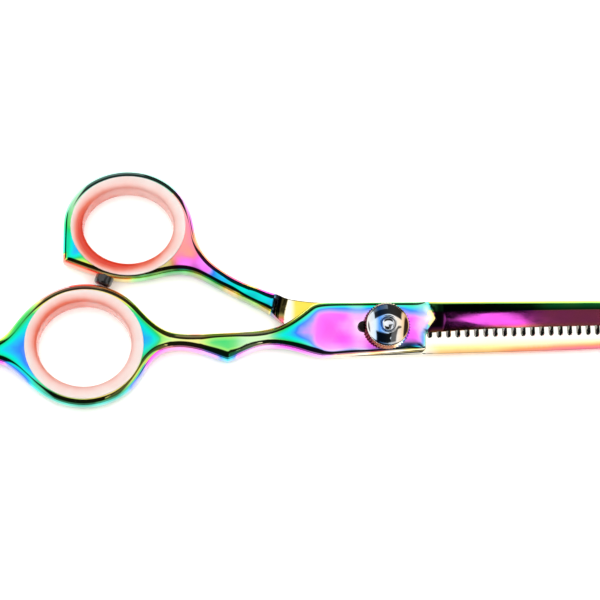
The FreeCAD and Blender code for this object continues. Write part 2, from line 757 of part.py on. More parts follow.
NODES = [
    "comb_half", "blade_half", "finger_ring_insert", "thumb_ring_insert", "bumper", "bumper_stem",
    "pivot_stud", "glide_washer", "pivot_bush", "dial_shim", "click_plate", "spring_washer",
    "pressure_washer", "tension_dial",
]
os.makedirs("parts", exist_ok=True)
for node in NODES:
    piece = doc.getObjectsByLabel(node)[0]
    shape = piece.Shape
    if shape.isNull() or not shape.isValid() or len(shape.Solids) != 1 or shape.Volume <= 0:
        raise RuntimeError("bad shape: " + node)
    shape.exportStep("parts/%s.step" % node)
    box = shape.BoundBox
    print("%-20s %8.1f mm3  x %7.2f %7.2f  y %7.2f %7.2f  z %6.2f %6.2f" % (
        node, shape.Volume, box.XMin, box.XMax, box.YMin, box.YMax, box.ZMin, box.ZMax))
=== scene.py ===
import math

import bmesh
import bpy
import numpy as np
from mathutils import Matrix, Vector
from mathutils.geometry import delaunay_2d_cdt


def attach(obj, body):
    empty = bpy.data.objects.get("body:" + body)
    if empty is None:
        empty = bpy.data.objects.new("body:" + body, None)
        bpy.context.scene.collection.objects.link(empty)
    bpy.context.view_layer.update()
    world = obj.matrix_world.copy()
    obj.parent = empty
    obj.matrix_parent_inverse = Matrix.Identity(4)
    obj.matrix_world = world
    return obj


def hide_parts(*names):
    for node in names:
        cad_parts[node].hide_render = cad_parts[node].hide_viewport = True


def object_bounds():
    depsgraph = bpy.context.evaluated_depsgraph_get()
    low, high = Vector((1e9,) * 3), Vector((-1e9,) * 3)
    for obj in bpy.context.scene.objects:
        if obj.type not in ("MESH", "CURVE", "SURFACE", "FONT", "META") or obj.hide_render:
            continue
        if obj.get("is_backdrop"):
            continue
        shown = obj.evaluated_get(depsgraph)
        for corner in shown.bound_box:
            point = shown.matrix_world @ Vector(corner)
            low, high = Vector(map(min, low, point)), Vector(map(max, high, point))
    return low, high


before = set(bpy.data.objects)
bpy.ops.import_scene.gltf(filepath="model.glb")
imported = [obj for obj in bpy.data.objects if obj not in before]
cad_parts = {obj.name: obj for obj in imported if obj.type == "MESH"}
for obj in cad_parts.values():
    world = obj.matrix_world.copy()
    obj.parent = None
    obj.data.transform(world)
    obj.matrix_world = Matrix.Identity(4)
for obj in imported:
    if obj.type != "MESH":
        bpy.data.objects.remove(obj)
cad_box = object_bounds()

MM = 0.001
scene = bpy.context.scene

# ---- outlines, millimetres

FINGER = (-62.0, -3.5)
THUMB = (-53.2, 21.3)
FINGER_BORE = (10.9, 10.1)
FINGER_OUTSIDE = (13.6, 12.7)
THUMB_BORE = (10.7, 9.4)
BUSH_HOLE = 2.97
STUD_HOLE = 2.26
TANG_END = (-94.4, -20.2)
TANG_RADIUS = 2.0
# Radii of the turned step about the pivot, and the X where the pivot plate ends.
STEP_FOOT = 21.0
STEP_RIM = 24.0
PLATE_END = 8.1
# Heights: the toothed half's flat, the gap above it, the handles' upper and lower faces.
MATING = 3.2
HALF_GAP = 0.05
TOP = 5.8
FLOOR = 0.5


def arc_poles(centre, major, minor, start, end, steps):
    """Control points of an evenly spaced cubic spline that follows an ellipse."""
    turn = math.radians((end - start) / steps)
    swell = 3.0 / (2.0 + math.cos(turn))
    out = []
    for i in range(steps + 1):
        angle = math.radians(start) + i * turn
        out.append((centre[0] + major * swell * math.cos(angle),
                    centre[1] + minor * swell * math.sin(angle)))
    return out


def spline(poles, step=0.35):
    """Points along a clamped uniform cubic spline, about step apart."""
    p = np.array(poles, float)
    spans = len(p) - 3
    knots = np.r_[[0.0] * 4, np.arange(1, spans), [spans] * 4]
    fine = np.linspace(0, spans, spans * 24 + 1)
    pts = []
    for t in fine:
        k = min(int(np.searchsorted(knots, t, side="right") - 1), len(p) - 1)
        d = [p[j + k - 3].copy() for j in range(4)]
        for r in range(1, 4):
            for j in range(3, r - 1, -1):
                i = j + k - 3
                span = knots[i + 4 - r] - knots[i]
                a = (t - knots[i]) / span if span else 0.0
                d[j] = (1 - a) * d[j - 1] + a * d[j]
        pts.append(d[3])
    return resample(np.array(pts), step)


def resample(pts, step):
    """Points evenly spaced along a polyline, about step apart."""
    pts = np.asarray(pts, float)
    run = np.r_[0, np.cumsum(np.linalg.norm(np.diff(pts, axis=0), axis=1))]
    n = max(1, int(round(run[-1] / step)))
    at = np.linspace(0, run[-1], n + 1)
    return np.c_[np.interp(at, run, pts[:, 0]), np.interp(at, run, pts[:, 1])]


def line(a, b, step=0.35):
    return resample([a, b], step)


def join(*parts):
    """One closed loop: the last point of each part is the first of the next."""
    return np.vstack([p[:-1] for p in parts])


BUMP = (-32.8, -6.9)
TANG_IN = (-92.4, -20.2)
TANG_OUT = (-96.4, -20.2)
PLAIN_LOWER_BACK = [TANG_IN, (-92.2, -16.6), (-90.2, -11.8), (-86.6, -8.4), (-82.2, -6.7),
                    (-78.4, -6.9), (-75.4, -9.1)]
PLAIN_LOWER_BACK += arc_poles(FINGER, *FINGER_OUTSIDE, 222, 318, 4)
PLAIN_LOWER_BACK += [(-48.9, -7.1), (-46.4, -4.7), (-42.6, -4.1), (-38.2, -4.9), (-34.8, -6.2), BUMP]
PLAIN_LOWER_FRONT = [BUMP, (-30.8, -6.2), (-27.4, -4.3), (-23.2, -3.7), (-18.4, -4.7),
                     (-15.4, -5.8), (-13.4, -6.2)]
PLAIN_UPPER = [(-9.5, 5.2), (-11.8, 5.2), (-14.6, 5.4), (-16.2, 4.1), (-19.0, 1.9), (-22.6, -0.1),
               (-27.4, -0.75), (-33.0, -1.1), (-38.6, -1.25), (-44.2, -1.2), (-47.4, 0.5), (-50.2, 3.2)]
PLAIN_UPPER += arc_poles(FINGER, *FINGER_OUTSIDE, 48, 140, 4)
PLAIN_UPPER += [(-75.4, 1.9), (-78.0, -2.0), (-81.6, -3.5), (-86.6, -4.9), (-91.2, -8.0),
                (-94.6, -13.0), (-96.4, -17.6), TANG_OUT]
PLATE_CHOIL = (PLATE_END, -4.6)
PLATE_SPINE = (PLATE_END, 5.34)
CHOIL_TOP = (PLATE_END + 0.05, -2.2)
EDGE_START = (9.7, -0.75)
PLAIN_TIP = (76.5, 1.3)
PLAIN_EDGE = [EDGE_START, (20.0, 0.0), (33.0, 0.42), (45.0, 0.66), (60.0, 0.9), PLAIN_TIP]
PLAIN_SPINE = [PLAIN_TIP, (76.4, 1.9), (74.4, 2.9), (69.0, 4.0), (58.0, 5.4), (45.0, 5.75),
               (25.0, 5.5), PLATE_SPINE]

COMB_HEEL = (-66.5, 13.9)
COMB_UPPER = [(-8.0, 5.35), (-10.5, 5.4), (-13.0, 5.6), (-15.4, 5.7), (-18.6, 6.1), (-20.5, 6.5),
              (-24.0, 7.5), (-28.0, 8.9), (-32.0, 10.8), (-35.6, 13.2), (-38.4, 16.4), (-39.6, 20.0)]
COMB_UPPER += arc_poles((-53.3, 21.6), 13.2, 11.8, 10, 165, 7)
COMB_UPPER += [(-66.5, 20.6), (-66.5, 17.6), COMB_HEEL]
COMB_LOWER = [COMB_HEEL, (-61.5, 12.1), (-57.2, 10.45), (-53.0, 9.95), (-48.5, 10.6), (-43.5, 12.0),
              (-39.2, 11.6), (-34.8, 8.9), (-29.6, 6.3), (-24.9, 4.0), (-21.8, 1.8), (-18.4, -1.4),
              (-15.4, -4.0), (-12.9, -5.9), (-10.0, -5.85)]
COMB_SPINE_START = (PLATE_END, -5.36)
COMB_CHOIL = (PLATE_END, 2.3)
COMB_TIP = (76.0, 0.85)
COMB_SPINE = [COMB_SPINE_START, (20.0, -5.05), (33.0, -4.75), (46.0, -4.3), (57.0, -3.6),
              (67.0, -2.4), (73.5, -0.9), (76.2, 0.2), COMB_TIP]
COMB_TEETH = [COMB_TIP, (75.0, 1.9), (72.6, 2.6), (66.0, 2.95), (45.0, 2.95), (25.0, 2.5), COMB_CHOIL]
TOOTH_PITCH = 1.989
FIRST_SLOT = 9.4
SLOT_COUNT = 31
SLOT_HALF = 0.43
SLOT_LEAN = math.radians(0.95)
SLOT_ROOT = -1.6
# Share of a slot's width that is lost at the underside.
SLOT_PINCH = 0.5


def ellipse_loop(centre, radii, count):
    t = np.linspace(0, 2 * math.pi, count, endpoint=False)
    return np.c_[centre[0] + radii[0] * np.cos(t), centre[1] + radii[1] * np.sin(t)]


def plain_loop():
    t = np.radians(np.linspace(180, 360, 15))
    tip = np.c_[TANG_END[0] + TANG_RADIUS * np.cos(t), TANG_END[1] + TANG_RADIUS * np.sin(t)]
    return join(
        spline(PLAIN_LOWER_BACK),
        spline(PLAIN_LOWER_FRONT),
        line(PLAIN_LOWER_FRONT[-1], PLATE_CHOIL, 0.4),
        line(PLATE_CHOIL, CHOIL_TOP, 0.3),
        spline([CHOIL_TOP, (PLATE_END + 0.1, -1.3), (8.8, -0.85), EDGE_START], 0.2),
        spline(PLAIN_EDGE, 0.5),
        spline(PLAIN_SPINE, 0.5),
        line(PLATE_SPINE, PLAIN_UPPER[0], 0.4),
        spline(PLAIN_UPPER),
        tip)


def slot_notch(index):
    """Way round one slot, from the side nearer the tips, in and out again."""
    x = FIRST_SLOT + index * TOOTH_PITCH
    t = np.radians(np.linspace(0, -180, 7))
    local = [(x + SLOT_HALF, 0.3)]
    local += [(x + SLOT_HALF * math.cos(a), SLOT_ROOT + SLOT_HALF * math.sin(a)) for a in t]
    local += [(x - SLOT_HALF, 0.3)]
    c = math.cos(SLOT_LEAN)
    s = math.sin(SLOT_LEAN)
    return np.array([(c * u - s * v, s * u + c * v) for u, v in local])


def comb_loop():
    teeth = spline(COMB_TEETH, 0.15)
    pieces = []
    here = teeth
    for i in reversed(range(SLOT_COUNT)):
        notch = slot_notch(i)
        high = notch[0, 0]
        low = notch[-1, 0]
        enter_y, leave_y = np.interp((high, low), teeth[::-1, 0], teeth[::-1, 1])
        pieces.append(here[here[:, 0] > high + 0.05])
        pieces.append(line((high, enter_y), notch[1], 0.45)[:-1])
        pieces.append(notch[1:-2])
        pieces.append(line(notch[-2], (low, leave_y), 0.45))
        here = here[here[:, 0] < low - 0.05]
    pieces.append(here)
    return join(
        spline(COMB_UPPER),
        spline(COMB_LOWER),
        line(COMB_LOWER[-1], COMB_SPINE_START, 0.4),
        spline(COMB_SPINE, 0.5),
        np.vstack(pieces),
        spline([COMB_CHOIL, (PLATE_END, 4.0), (5.4, 5.3), (1.5, 5.35)], 0.3),
        line((1.5, 5.35), COMB_UPPER[0], 0.4))


# ---- plate mesher

# Slope at which the rounding of an edge meets its face, and how far apart the fill points are.
CREASE = math.radians(24.0)
FILL_SPACING = 1.1


def build(name, verts, faces):
    """Object with a mesh whose points are in millimetres."""
    mesh = bpy.data.meshes.new(name)
    mesh.from_pydata([(x * MM, y * MM, z * MM) for x, y, z in verts], [], faces)
    mesh.validate()
    obj = bpy.data.objects.new(name, mesh)
    scene.collection.objects.link(obj)
    return obj


def unit(values):
    """Values held between 0 and 1."""
    return np.clip(values, 0, 1)


def blend(a, b, share):
    """a where share is 0, b where it is 1, and a mixture between."""
    return a * (1 - share) + b * share


def ease(share):
    """A share between 0 and 1 with its ends made gradual."""
    return share * share * (3 - 2 * share)


def smooth_ring(values, rounds):
    """Running average round a closed loop."""
    for _ in range(rounds):
        values = 0.25 * np.roll(values, 1) + 0.5 * values + 0.25 * np.roll(values, -1)
    return values


def edge_distance(points, loop):
    """Distance from each point to a closed loop, and where on the loop it is nearest."""
    a = loop
    b = np.roll(loop, -1, axis=0)
    ab = b - a
    length = np.maximum((ab ** 2).sum(axis=1), 1e-12)
    best = np.full(len(points), 1e9)
    index = np.zeros(len(points), int)
    part = np.zeros(len(points))
    for start in range(0, len(points), 400):
        p = points[start:start + 400]
        t = unit(((p[:, None, :] - a) * ab).sum(axis=2) / length)
        gap = np.linalg.norm(p[:, None, :] - (a + t[..., None] * ab), axis=2)
        k = gap.argmin(axis=1)
        rows = np.arange(len(p))
        best[start:start + 400] = gap[rows, k]
        index[start:start + 400] = k
        part[start:start + 400] = t[rows, k]
    return best, index, part


def inside(points, loop):
    """Which points lie inside a closed loop."""
    a = loop
    b = np.roll(loop, -1, axis=0)
    x = points[:, 0][:, None]
    y = points[:, 1][:, None]
    cross = (a[:, 1] > y) != (b[:, 1] > y)
    with np.errstate(divide="ignore", invalid="ignore"):
        at = (b[:, 0] - a[:, 0]) * (y - a[:, 1]) / (b[:, 1] - a[:, 1]) + a[:, 0]
    return ((cross & (x < at)).sum(axis=1) % 2) == 1


def roll_off(d, width, height):
    """Drop of a rounded edge, d in from the rim: upright at the rim, a crease at width."""
    s = math.sin(CREASE)
    sin_phi = 1.0 - unit(d / width) * (1.0 - s)
    cos_phi = np.sqrt(unit(1.0 - sin_phi ** 2))
    return height * (1.0 - cos_phi / math.cos(CREASE))


def inset_fractions():
    """Where on the rounding its mesh rings lie: at nearly even slopes, and at the crease."""
    slopes = np.radians([78.0, 66.0, 54.0, 43.0, 33.0])
    return [*((1.0 - np.sin(slopes)) / (1.0 - math.sin(CREASE))), 1.0]


def outside_holes(points, holes, gap=None):
    """Which points lie outside every hole, and by more than gap where that is given."""
    clear = np.ones(len(points), bool)
    for hole in holes:
        clear &= ~inside(points, hole)
        if gap is not None:
            clear &= edge_distance(points, hole)[0] > gap
    return clear


def add_line(pts, edges, way, keep, closed):
    """Add the kept points of a line to pts, and an edge between each two neighbours."""
    number = {}
    for i in np.nonzero(keep)[0]:
        number[i] = len(pts)
        pts.append(tuple(way[i]))
    for i in number:
        j = (i + 1) % len(way)
        if j in number and (closed or j > 0):
            edges.append((number[i], number[j]))


def plate(name, rim, width, holes, guides, fill_until, top, bottom):
    """Closed solid over a flat outline.

    rim is the outline, width the rounding at each of its points, holes are loops inside it,
    guides are open lines that the mesh follows, a loose grid of points fills the plate up to
    x = fill_until, and top and bottom give heights.
    """
    pts = []
    edges = []
    for loop in [rim] + holes:
        add_line(pts, edges, loop, np.ones(len(loop), bool), True)
    ahead = np.roll(rim, -1, axis=0) - np.roll(rim, 1, axis=0)
    ahead /= np.maximum(np.linalg.norm(ahead, axis=1), 1e-9)[:, None]
    inward = np.c_[-ahead[:, 1], ahead[:, 0]]
    for fraction in inset_fractions() + [1.35, 1.9]:
        off = width * fraction
        ring = rim + inward * off[:, None]
        gap, _, _ = edge_distance(ring, rim)
        keep = (gap > off * 0.985 - 1e-6) & (off > 0.03) & inside(ring, rim)
        add_line(pts, edges, ring, keep & outside_holes(ring, holes, 0.25), True)
    for hole in holes:
        centre = hole.mean(axis=0)
        for out in (0.25, 0.6, 1.2):
            ring = centre + (hole - centre) * (1.0 + out / np.linalg.norm(hole[0] - centre))
            gap, _, _ = edge_distance(ring, rim)
            add_line(pts, edges, ring, inside(ring, rim) & (gap > 0.3), True)
    for guide in guides:
        add_line(pts, edges, guide, inside(guide, rim) & outside_holes(guide, holes), False)
    low = rim.min(axis=0)
    high = rim.max(axis=0)
    rows = []
    flip = 0
    y = low[1]
    while y < high[1]:
        xs = np.arange(low[0] + 0.5 * FILL_SPACING * flip, min(high[0], fill_until), FILL_SPACING)
        rows.append(np.c_[xs, np.full(len(xs), y)])
        y += FILL_SPACING * 0.866
        flip = 1 - flip
    fill = np.vstack(rows)
    fill = fill[inside(fill, rim)]
    gap, near, _ = edge_distance(fill, rim)
    fill = fill[gap > 2.1 * width[near] + 0.25]
    fill = fill[outside_holes(fill, holes, 1.5)]
    pts += [tuple(p) for p in fill]

    coords, _, faces, _, _, _ = delaunay_2d_cdt([Vector(p) for p in pts], edges, [], 0, 1e-5)
    flat = np.array([(v.x, v.y) for v in coords])
    tri = np.array([f for f in faces if len(f) == 3])
    mid = flat[tri].mean(axis=1)
    tri = tri[inside(mid, rim) & outside_holes(mid, holes)]
    area = np.cross(flat[tri[:, 1]] - flat[tri[:, 0]], flat[tri[:, 2]] - flat[tri[:, 0]])
    tri = tri[np.abs(area) > 1e-9]
    area = area[np.abs(area) > 1e-9]
    tri[area < 0] = tri[area < 0][:, ::-1]
    used, tri = np.unique(tri, return_inverse=True)
    flat = flat[used]
    tri = tri.reshape(-1, 3)

    gap, near, part = edge_distance(flat, rim)
    wide = blend(width[near], np.roll(width, -1)[near], part)
    hole_gap = np.full(len(flat), 9.0)
    for hole in holes:
        hole_gap = np.minimum(hole_gap, edge_distance(flat, hole)[0])
    up = top(flat, gap, wide, hole_gap)
    down = bottom(flat, gap, wide, hole_gap)

    directed = [side for a, b, c in tri.tolist() for side in ((a, b), (b, c), (c, a))]
    known = set(directed)
    n = len(flat)
    faces = tri.tolist() + (tri[:, ::-1] + n).tolist()
    faces += [(a, a + n, b + n, b) for a, b in directed if (b, a) not in known]
    obj = build(name, np.vstack((np.c_[flat, up], np.c_[flat, down])), faces)
    return obj, {"flat": flat, "gap": gap, "wide": wide, "first_wall": 2 * len(tri)}


def crisp(obj, degrees):
    """Smooth shading, with the edges sharper than an angle left crisp."""
    bm = bmesh.new()
    bm.from_mesh(obj.data)
    bmesh.ops.recalc_face_normals(bm, faces=bm.faces)
    limit = math.radians(degrees)
    for face in bm.faces:
        face.smooth = True
    for edge in bm.edges:
        edge.smooth = not (len(edge.link_faces) == 2 and edge.calc_face_angle(0.0) > limit)
    bm.to_mesh(obj.data)
    bm.free()


# ---- heights of the two halves

# How much of the turned step's rise is circular, the rest being a parabola; the most that a
# rounded edge drops; the drop and the fade of the low crown inside it; and the corner at a hole.
ROUND_SHARE = 0.55
EDGE_HEIGHT = 1.35
CROWN_DROP = 0.11
CROWN_FADE = 1.1
HOLE_CORNER = 0.25


def cove(radius, plate_level, face_level):
    """Turned step seen from the side: flat plate, concave rise, face."""
    t = np.clip((radius - STEP_FOOT) / (STEP_RIM - STEP_FOOT), 0, 1.6)
    rise = blend(t ** 2, 1.0 - np.sqrt(unit(1.0 - unit(t) ** 2)), ROUND_SHARE)
    return plate_level + (face_level - plate_level) * np.where(t > 1, 1 + 3 * (t - 1), rise)


def plate_cut(flat, level, face_level):
    """Height of a half's flat at the pivot plate and the blade, with the turned step behind."""
    radius = np.hypot(flat[:, 0], flat[:, 1])
    on_flat = (radius < STEP_FOOT) | (flat[:, 0] > 0)
    return np.where(on_flat, level, cove(radius, level, face_level))


def edge_drop(gap, wide, hole_gap):
    """How far a face falls away: round at the rim, a low crown inside it, a corner at holes."""
    crown = CROWN_DROP * np.exp(-np.maximum(gap - wide, 0) / CROWN_FADE)
    corner = HOLE_CORNER * unit(1 - hole_gap / HOLE_CORNER)
    return roll_off(gap, wide, np.minimum(wide, EDGE_HEIGHT) * 0.97) + crown + corner


def along(x, table):
    """Value at x from a table of x, value rows, with straight lines between them."""
    return np.interp(x, [row[0] for row in table], [row[1] for row in table])


PLAIN_SPINE_Y = [(8.1, 5.34), (25, 5.5), (45, 5.65), (58, 5.2), (66, 4.3), (72, 3.2), (76.5, 1.6)]
PLAIN_EDGE_Y = [(8.1, -2.2), (9.7, -0.75), (14, -0.4), (20, 0.0), (33, 0.42), (45, 0.66), (60, 0.9),
                (76.5, 1.3)]
RIDGE_Y = [(9.0, 3.2), (12.0, 3.3), (45.0, 3.8), (58.0, 3.5), (66.0, 2.9), (72.0, 2.3), (76.5, 1.5)]
SPINE_Z = [(8.1, 5.8), (11.8, 5.3), (45.0, 5.0), (66.0, 4.7), (76.5, 4.3)]
RIDGE_Z = [(8.1, 5.8), (11.8, 5.16), (45.0, 4.87), (66.0, 4.58), (76.5, 4.22)]
EDGE_Z = 3.42
RICASSO_SLOPE = 0.3
RICASSO_LEAST = 4.9
LOWER_SLOPE = 0.52
LOWER_HOLLOW = 0.0223
VEE_TIP = (10.6, 1.8)
VEE_LEAST = 8.8


def vee(y):
    """X at which the ricasso, with its pointed end, gives way to the blade."""
    x, middle = VEE_TIP
    return np.where(y > middle, x - 0.45 * (y - middle), np.maximum(x - 0.75 * (middle - y), VEE_LEAST))


def plain_blade_top(flat):
    """Upper side of the plain blade: flat facet above the ridge, hollow one below, ricasso."""
    x, y = flat.T
    spine, ridge, spine_z, ridge_z = [
        along(x, table) for table in (PLAIN_SPINE_Y, RIDGE_Y, SPINE_Z, RIDGE_Z)]
    climb = unit((y - ridge) / np.maximum(spine - 0.45 - ridge, 0.3))
    upper = ridge_z + (spine_z - ridge_z) * climb
    drop = ridge - y
    lower = ridge_z - LOWER_SLOPE * drop + LOWER_HOLLOW * drop ** 2
    facets = np.where(y > ridge, upper, np.maximum(lower, EDGE_Z))
    ricasso = np.maximum(TOP - RICASSO_SLOPE * np.maximum(x - 8.5, 0), RICASSO_LEAST)
    z = blend(ricasso, facets, ease(unit((x - vee(y) + 0.18) / 0.36)))
    corner = np.clip(1 - (spine - y) / 0.5, 0, 1.6)
    return np.minimum(z, spine_z - 0.5 * corner)


def plain_top(flat, gap, wide, hole_gap):
    z = TOP - edge_drop(gap, wide, hole_gap)
    return np.where(flat[:, 0] > 8.6, np.minimum(z, plain_blade_top(flat)), z)


def plain_bottom(flat, gap, wide, hole_gap):
    z = FLOOR + edge_drop(gap, wide, hole_gap)
    level = plate_cut(flat, MATING + HALF_GAP, FLOOR)
    bevel = 0.12 * unit(1 - gap / 0.12)
    return np.maximum(z, level + np.where(level > 3.0, bevel, 0))


def comb_top(flat, gap, wide, hole_gap):
    z = TOP - edge_drop(gap, wide, hole_gap)
    level = plate_cut(flat, MATING, TOP)
    bevel = 0.10 * unit(1 - gap / 0.1)
    return np.minimum(z, level - np.where(level < 3.4, bevel, 0))


COMB_SPINE_Y = [(8.1, -5.36), (20, -5.05), (33, -4.75), (46, -4.25), (57, -3.5), (67, -2.2),
                (73.5, -0.8), (76, 0.6)]
COMB_FLAT_Z = [(8.1, 0.5), (12.0, 0.8), (45.0, 1.05), (66.0, 1.33), (76.5, 1.75)]


def comb_bottom(flat, gap, wide, hole_gap):
    """Underside of the toothed half: its blade has a bevel that thins it towards the teeth."""
    z = FLOOR + edge_drop(gap, wide, hole_gap)
    x, y = flat.T
    base = along(x, COMB_FLAT_Z)
    tips = 2.9
    tip_level = 2.05
    ridge = -1.9 + 0.012 * x
    t = unit((y - ridge) / (tips - ridge))
    fade = unit((x - 8.5) / 3.5)
    corner = np.clip(1 - (y - along(x, COMB_SPINE_Y)) / 0.6, 0, 1.4)
    blade = base + fade * (tip_level - base) * t + 0.55 * corner
    return np.where(x > PLATE_END, np.maximum(blade, FLOOR), z)


# ---- colour fields

def field(points, table, power=3.0):
    """Smooth blend of a few chosen values; each row of the table is x, y, value."""
    # A tint is a complex number, and one makes the whole array complex, so x and y are its real part.
    t = np.array(table)
    d = np.linalg.norm(points[:, None, :] - t[None, :, :2].real, axis=2)
    w = 1.0 / (d + 0.4) ** power
    return (w * t[:, 2]).sum(axis=1) / w.sum(axis=1)


def store(obj, name, values):
    """Keep one number a point on the mesh, for a material to read."""
    layer = obj.data.attributes.new(name, "FLOAT", "POINT")
    layer.data.foreach_set("value", np.asarray(values, np.float32))


# Tints run round a circle of this length, from straw through green and blue back to straw.
WHEEL = 1.16


def on_wheel(tint):
    """A tint as a point on the colour wheel, a unit complex number."""
    return np.exp(2j * math.pi * np.asarray(tint) / WHEEL)


def wheel_field(points, table):
    """Like field, for tints, as points on the colour wheel."""
    z = field(points, [(x, y, on_wheel(tint)) for x, y, tint in table])
    return z / np.maximum(np.abs(z), 1e-6)


def shade_half(obj, info, face, climb, rim, painted_glare, extra):
    """Coating tint: a base value that climbs away from the face's edges, and one on the rounding; beside
    it, shares of painted highlight and painted dark reflection.
    """
    flat = info["flat"]
    depth = np.maximum(info["gap"] - info["wide"], 0.0)
    inner = wheel_field(flat, face) * on_wheel(field(flat, climb) * (1 - np.exp(-depth / 0.95)))
    tint = blend(wheel_field(flat, rim), inner, ease(unit(info["gap"] / np.maximum(info["wide"], 0.05))))
    tint, pale, dark = extra(flat, tint, field(flat, painted_glare, 4.0))
    tint = tint / np.maximum(np.abs(tint), 1e-6)
    for name, values in (("tint_east", tint.real), ("tint_north", tint.imag),
                         ("painted_glare", unit(pale)), ("painted_dark_reflection", unit(dark))):
        store(obj, name, np.r_[values, values])


# ---- materials

def linear(colour):
    """Linear colour from a display one."""
    steps = [c / 12.92 if c <= 0.04045 else ((c + 0.055) / 1.055) ** 2.4 for c in colour]
    return (*steps, 1.0)


def plug(tree, socket, value):
    """Set a socket to a constant, or link it to another node's output."""
    if isinstance(value, (float, int, tuple)):
        socket.default_value = value
    else:
        tree.links.new(value, socket)


def new_node(tree, kind, inputs=None, **settings):
    """Shader node; each of its inputs is a constant or another node's output."""
    node = tree.nodes.new("ShaderNode" + kind)
    for name, value in settings.items():
        setattr(node, name, value)
    for socket, value in (inputs or {}).items():
        plug(tree, node.inputs[socket], value)
    return node


def new_material(name, metallic, roughness, inputs=None):
    """Material whose shader has these inputs."""
    material = bpy.data.materials.new(name)
    material.use_nodes = True
    tree = material.node_tree
    tree.nodes.clear()
    start = {"Metallic": metallic, "Roughness": roughness}
    shader = new_node(tree, "BsdfPrincipled", start | (inputs or {}))
    new_node(tree, "OutputMaterial", {"Surface": shader.outputs["BSDF"]})
    return material, tree, shader


def noise_node(tree, scale, detail=3.0, stretch=None):
    place = new_node(tree, "TexCoord").outputs["Object"]
    if stretch is not None:
        place = new_node(tree, "Mapping", {"Vector": place, "Scale": stretch}).outputs["Vector"]
    return new_node(tree, "TexNoise", {"Vector": place, "Scale": scale, "Detail": detail}).outputs["Fac"]


def span(tree, source, low, high, to_low, to_high, curve="LINEAR"):
    ends = {"Value": source, "From Min": low, "From Max": high, "To Min": to_low, "To Max": to_high}
    return new_node(tree, "MapRange", ends, interpolation_type=curve).outputs["Result"]


def ramp(tree, source, stops, encode=linear):
    node = tree.nodes.new("ShaderNodeValToRGB")
    elements = node.color_ramp.elements
    for element, (place, colour) in zip(elements, (stops[0], stops[-1])):
        element.position = place
        element.color = encode(colour)
    for place, colour in stops[1:-1]:
        elements.new(place).color = encode(colour)
    tree.links.new(source, node.inputs["Fac"])
    return node.outputs["Color"]


def attribute(tree, name):
    return new_node(tree, "Attribute", attribute_name=name).outputs["Fac"]


def mix(tree, factor, a, b, mode="MIX"):
    return new_node(tree, "Mix", {0: factor, 6: a, 7: b}, data_type="RGBA", blend_type=mode).outputs[2]


def math_node(tree, operation, *values):
    return new_node(tree, "Math", dict(enumerate(values)), operation=operation).outputs[0]


def surface(tree, shader, colour, rough, height, strength, distance):
    """Give a shader its colour, its roughness and a bump that follows height."""
    bump = new_node(tree, "Bump", {"Strength": strength, "Distance": distance, "Height": height})
    for socket, value in (("Base Color", colour), ("Roughness", rough), ("Normal", bump.outputs["Normal"])):
        tree.links.new(value, shader.inputs[socket])


TINTS = [
    (0.00, (1.0, 0.93, 0.55)), (0.09, (0.96, 0.86, 0.26)), (0.2, (0.66, 0.93, 0.4)),
    (0.31, (0.12, 0.82, 0.42)), (0.44, (0.02, 0.9, 0.84)), (0.56, (0.2, 0.52, 1.0)),
    (0.63, (0.58, 0.6, 1.0)), (0.69, (0.9, 0.56, 1.0)), (0.75, (0.97, 0.42, 1.0)),
    (0.85, (1.0, 0.34, 0.9)), (0.95, (1.0, 0.44, 0.62)), (1.06, (1.0, 0.62, 0.36)),
    (1.16, (1.0, 0.93, 0.55))]


def coating_material(name):
    """Mirror-polished steel under an interference coating."""
    material, tree, shader = new_material(name, 1.0, 0.1)
    drift = span(tree, noise_node(tree, 140.0, 2.0), 0.3, 0.7, -0.11, 0.11)
    angle = math_node(tree, "ARCTAN2", attribute(tree, "tint_north"), attribute(tree, "tint_east"))
    turn = 2 * math.pi
    wrapped = math_node(tree, "WRAP", math_node(tree, "ADD", angle, drift), turn, 0.0)
    at = span(tree, wrapped, 0.0, turn, 0.0, 1.0)
    colour = ramp(tree, at, [(tint / WHEEL, colour) for tint, colour in TINTS])
    # Painted highlight: this share whitens the coating where the steel would mirror bright light.
    colour = mix(tree, attribute(tree, "painted_glare"), colour, (1.0, 0.985, 0.95, 1.0))
    # Painted dark reflection: this share blackens the coating where the steel would mirror dark
    # surroundings.
    colour = mix(tree, attribute(tree, "painted_dark_reflection"), colour, (0.006, 0.005, 0.006, 1.0))
    fine = noise_node(tree, 900.0, 4.0, (0.35, 1.0, 1.0))
    surface(tree, shader, colour, span(tree, fine, 0.3, 0.7, 0.03, 0.075), fine, 0.02, 0.00001)
    return material


def metal_material(name, dark, light, rough, scale):
    """Bare metal, a little uneven in tone and polish."""
    material, tree, shader = new_material(name, 1.0, rough)
    grain = noise_node(tree, scale, 4.0)
    colour = ramp(tree, grain, [(0.25, dark), (0.75, light)])
    uneven = span(tree, grain, 0.3, 0.7, rough * 0.75, rough * 1.3)
    surface(tree, shader, colour, uneven, grain, 0.15, 0.00001)
    return material


def polymer_material(name, dark, light, rough, scale, coat=0.0):
    """Rubber or plastic, with a gloss coat if asked."""
    gloss = {"Coat Weight": coat, "Coat Roughness": 0.12}
    material, tree, shader = new_material(name, 0.0, rough, gloss)
    grain = noise_node(tree, scale, 5.0)
    colour = ramp(tree, grain, [(0.3, dark), (0.7, light)])
    uneven = span(tree, grain, 0.3, 0.7, rough * 0.8, rough * 1.25)
    surface(tree, shader, colour, uneven, grain, 0.2, 0.00002)
    return material


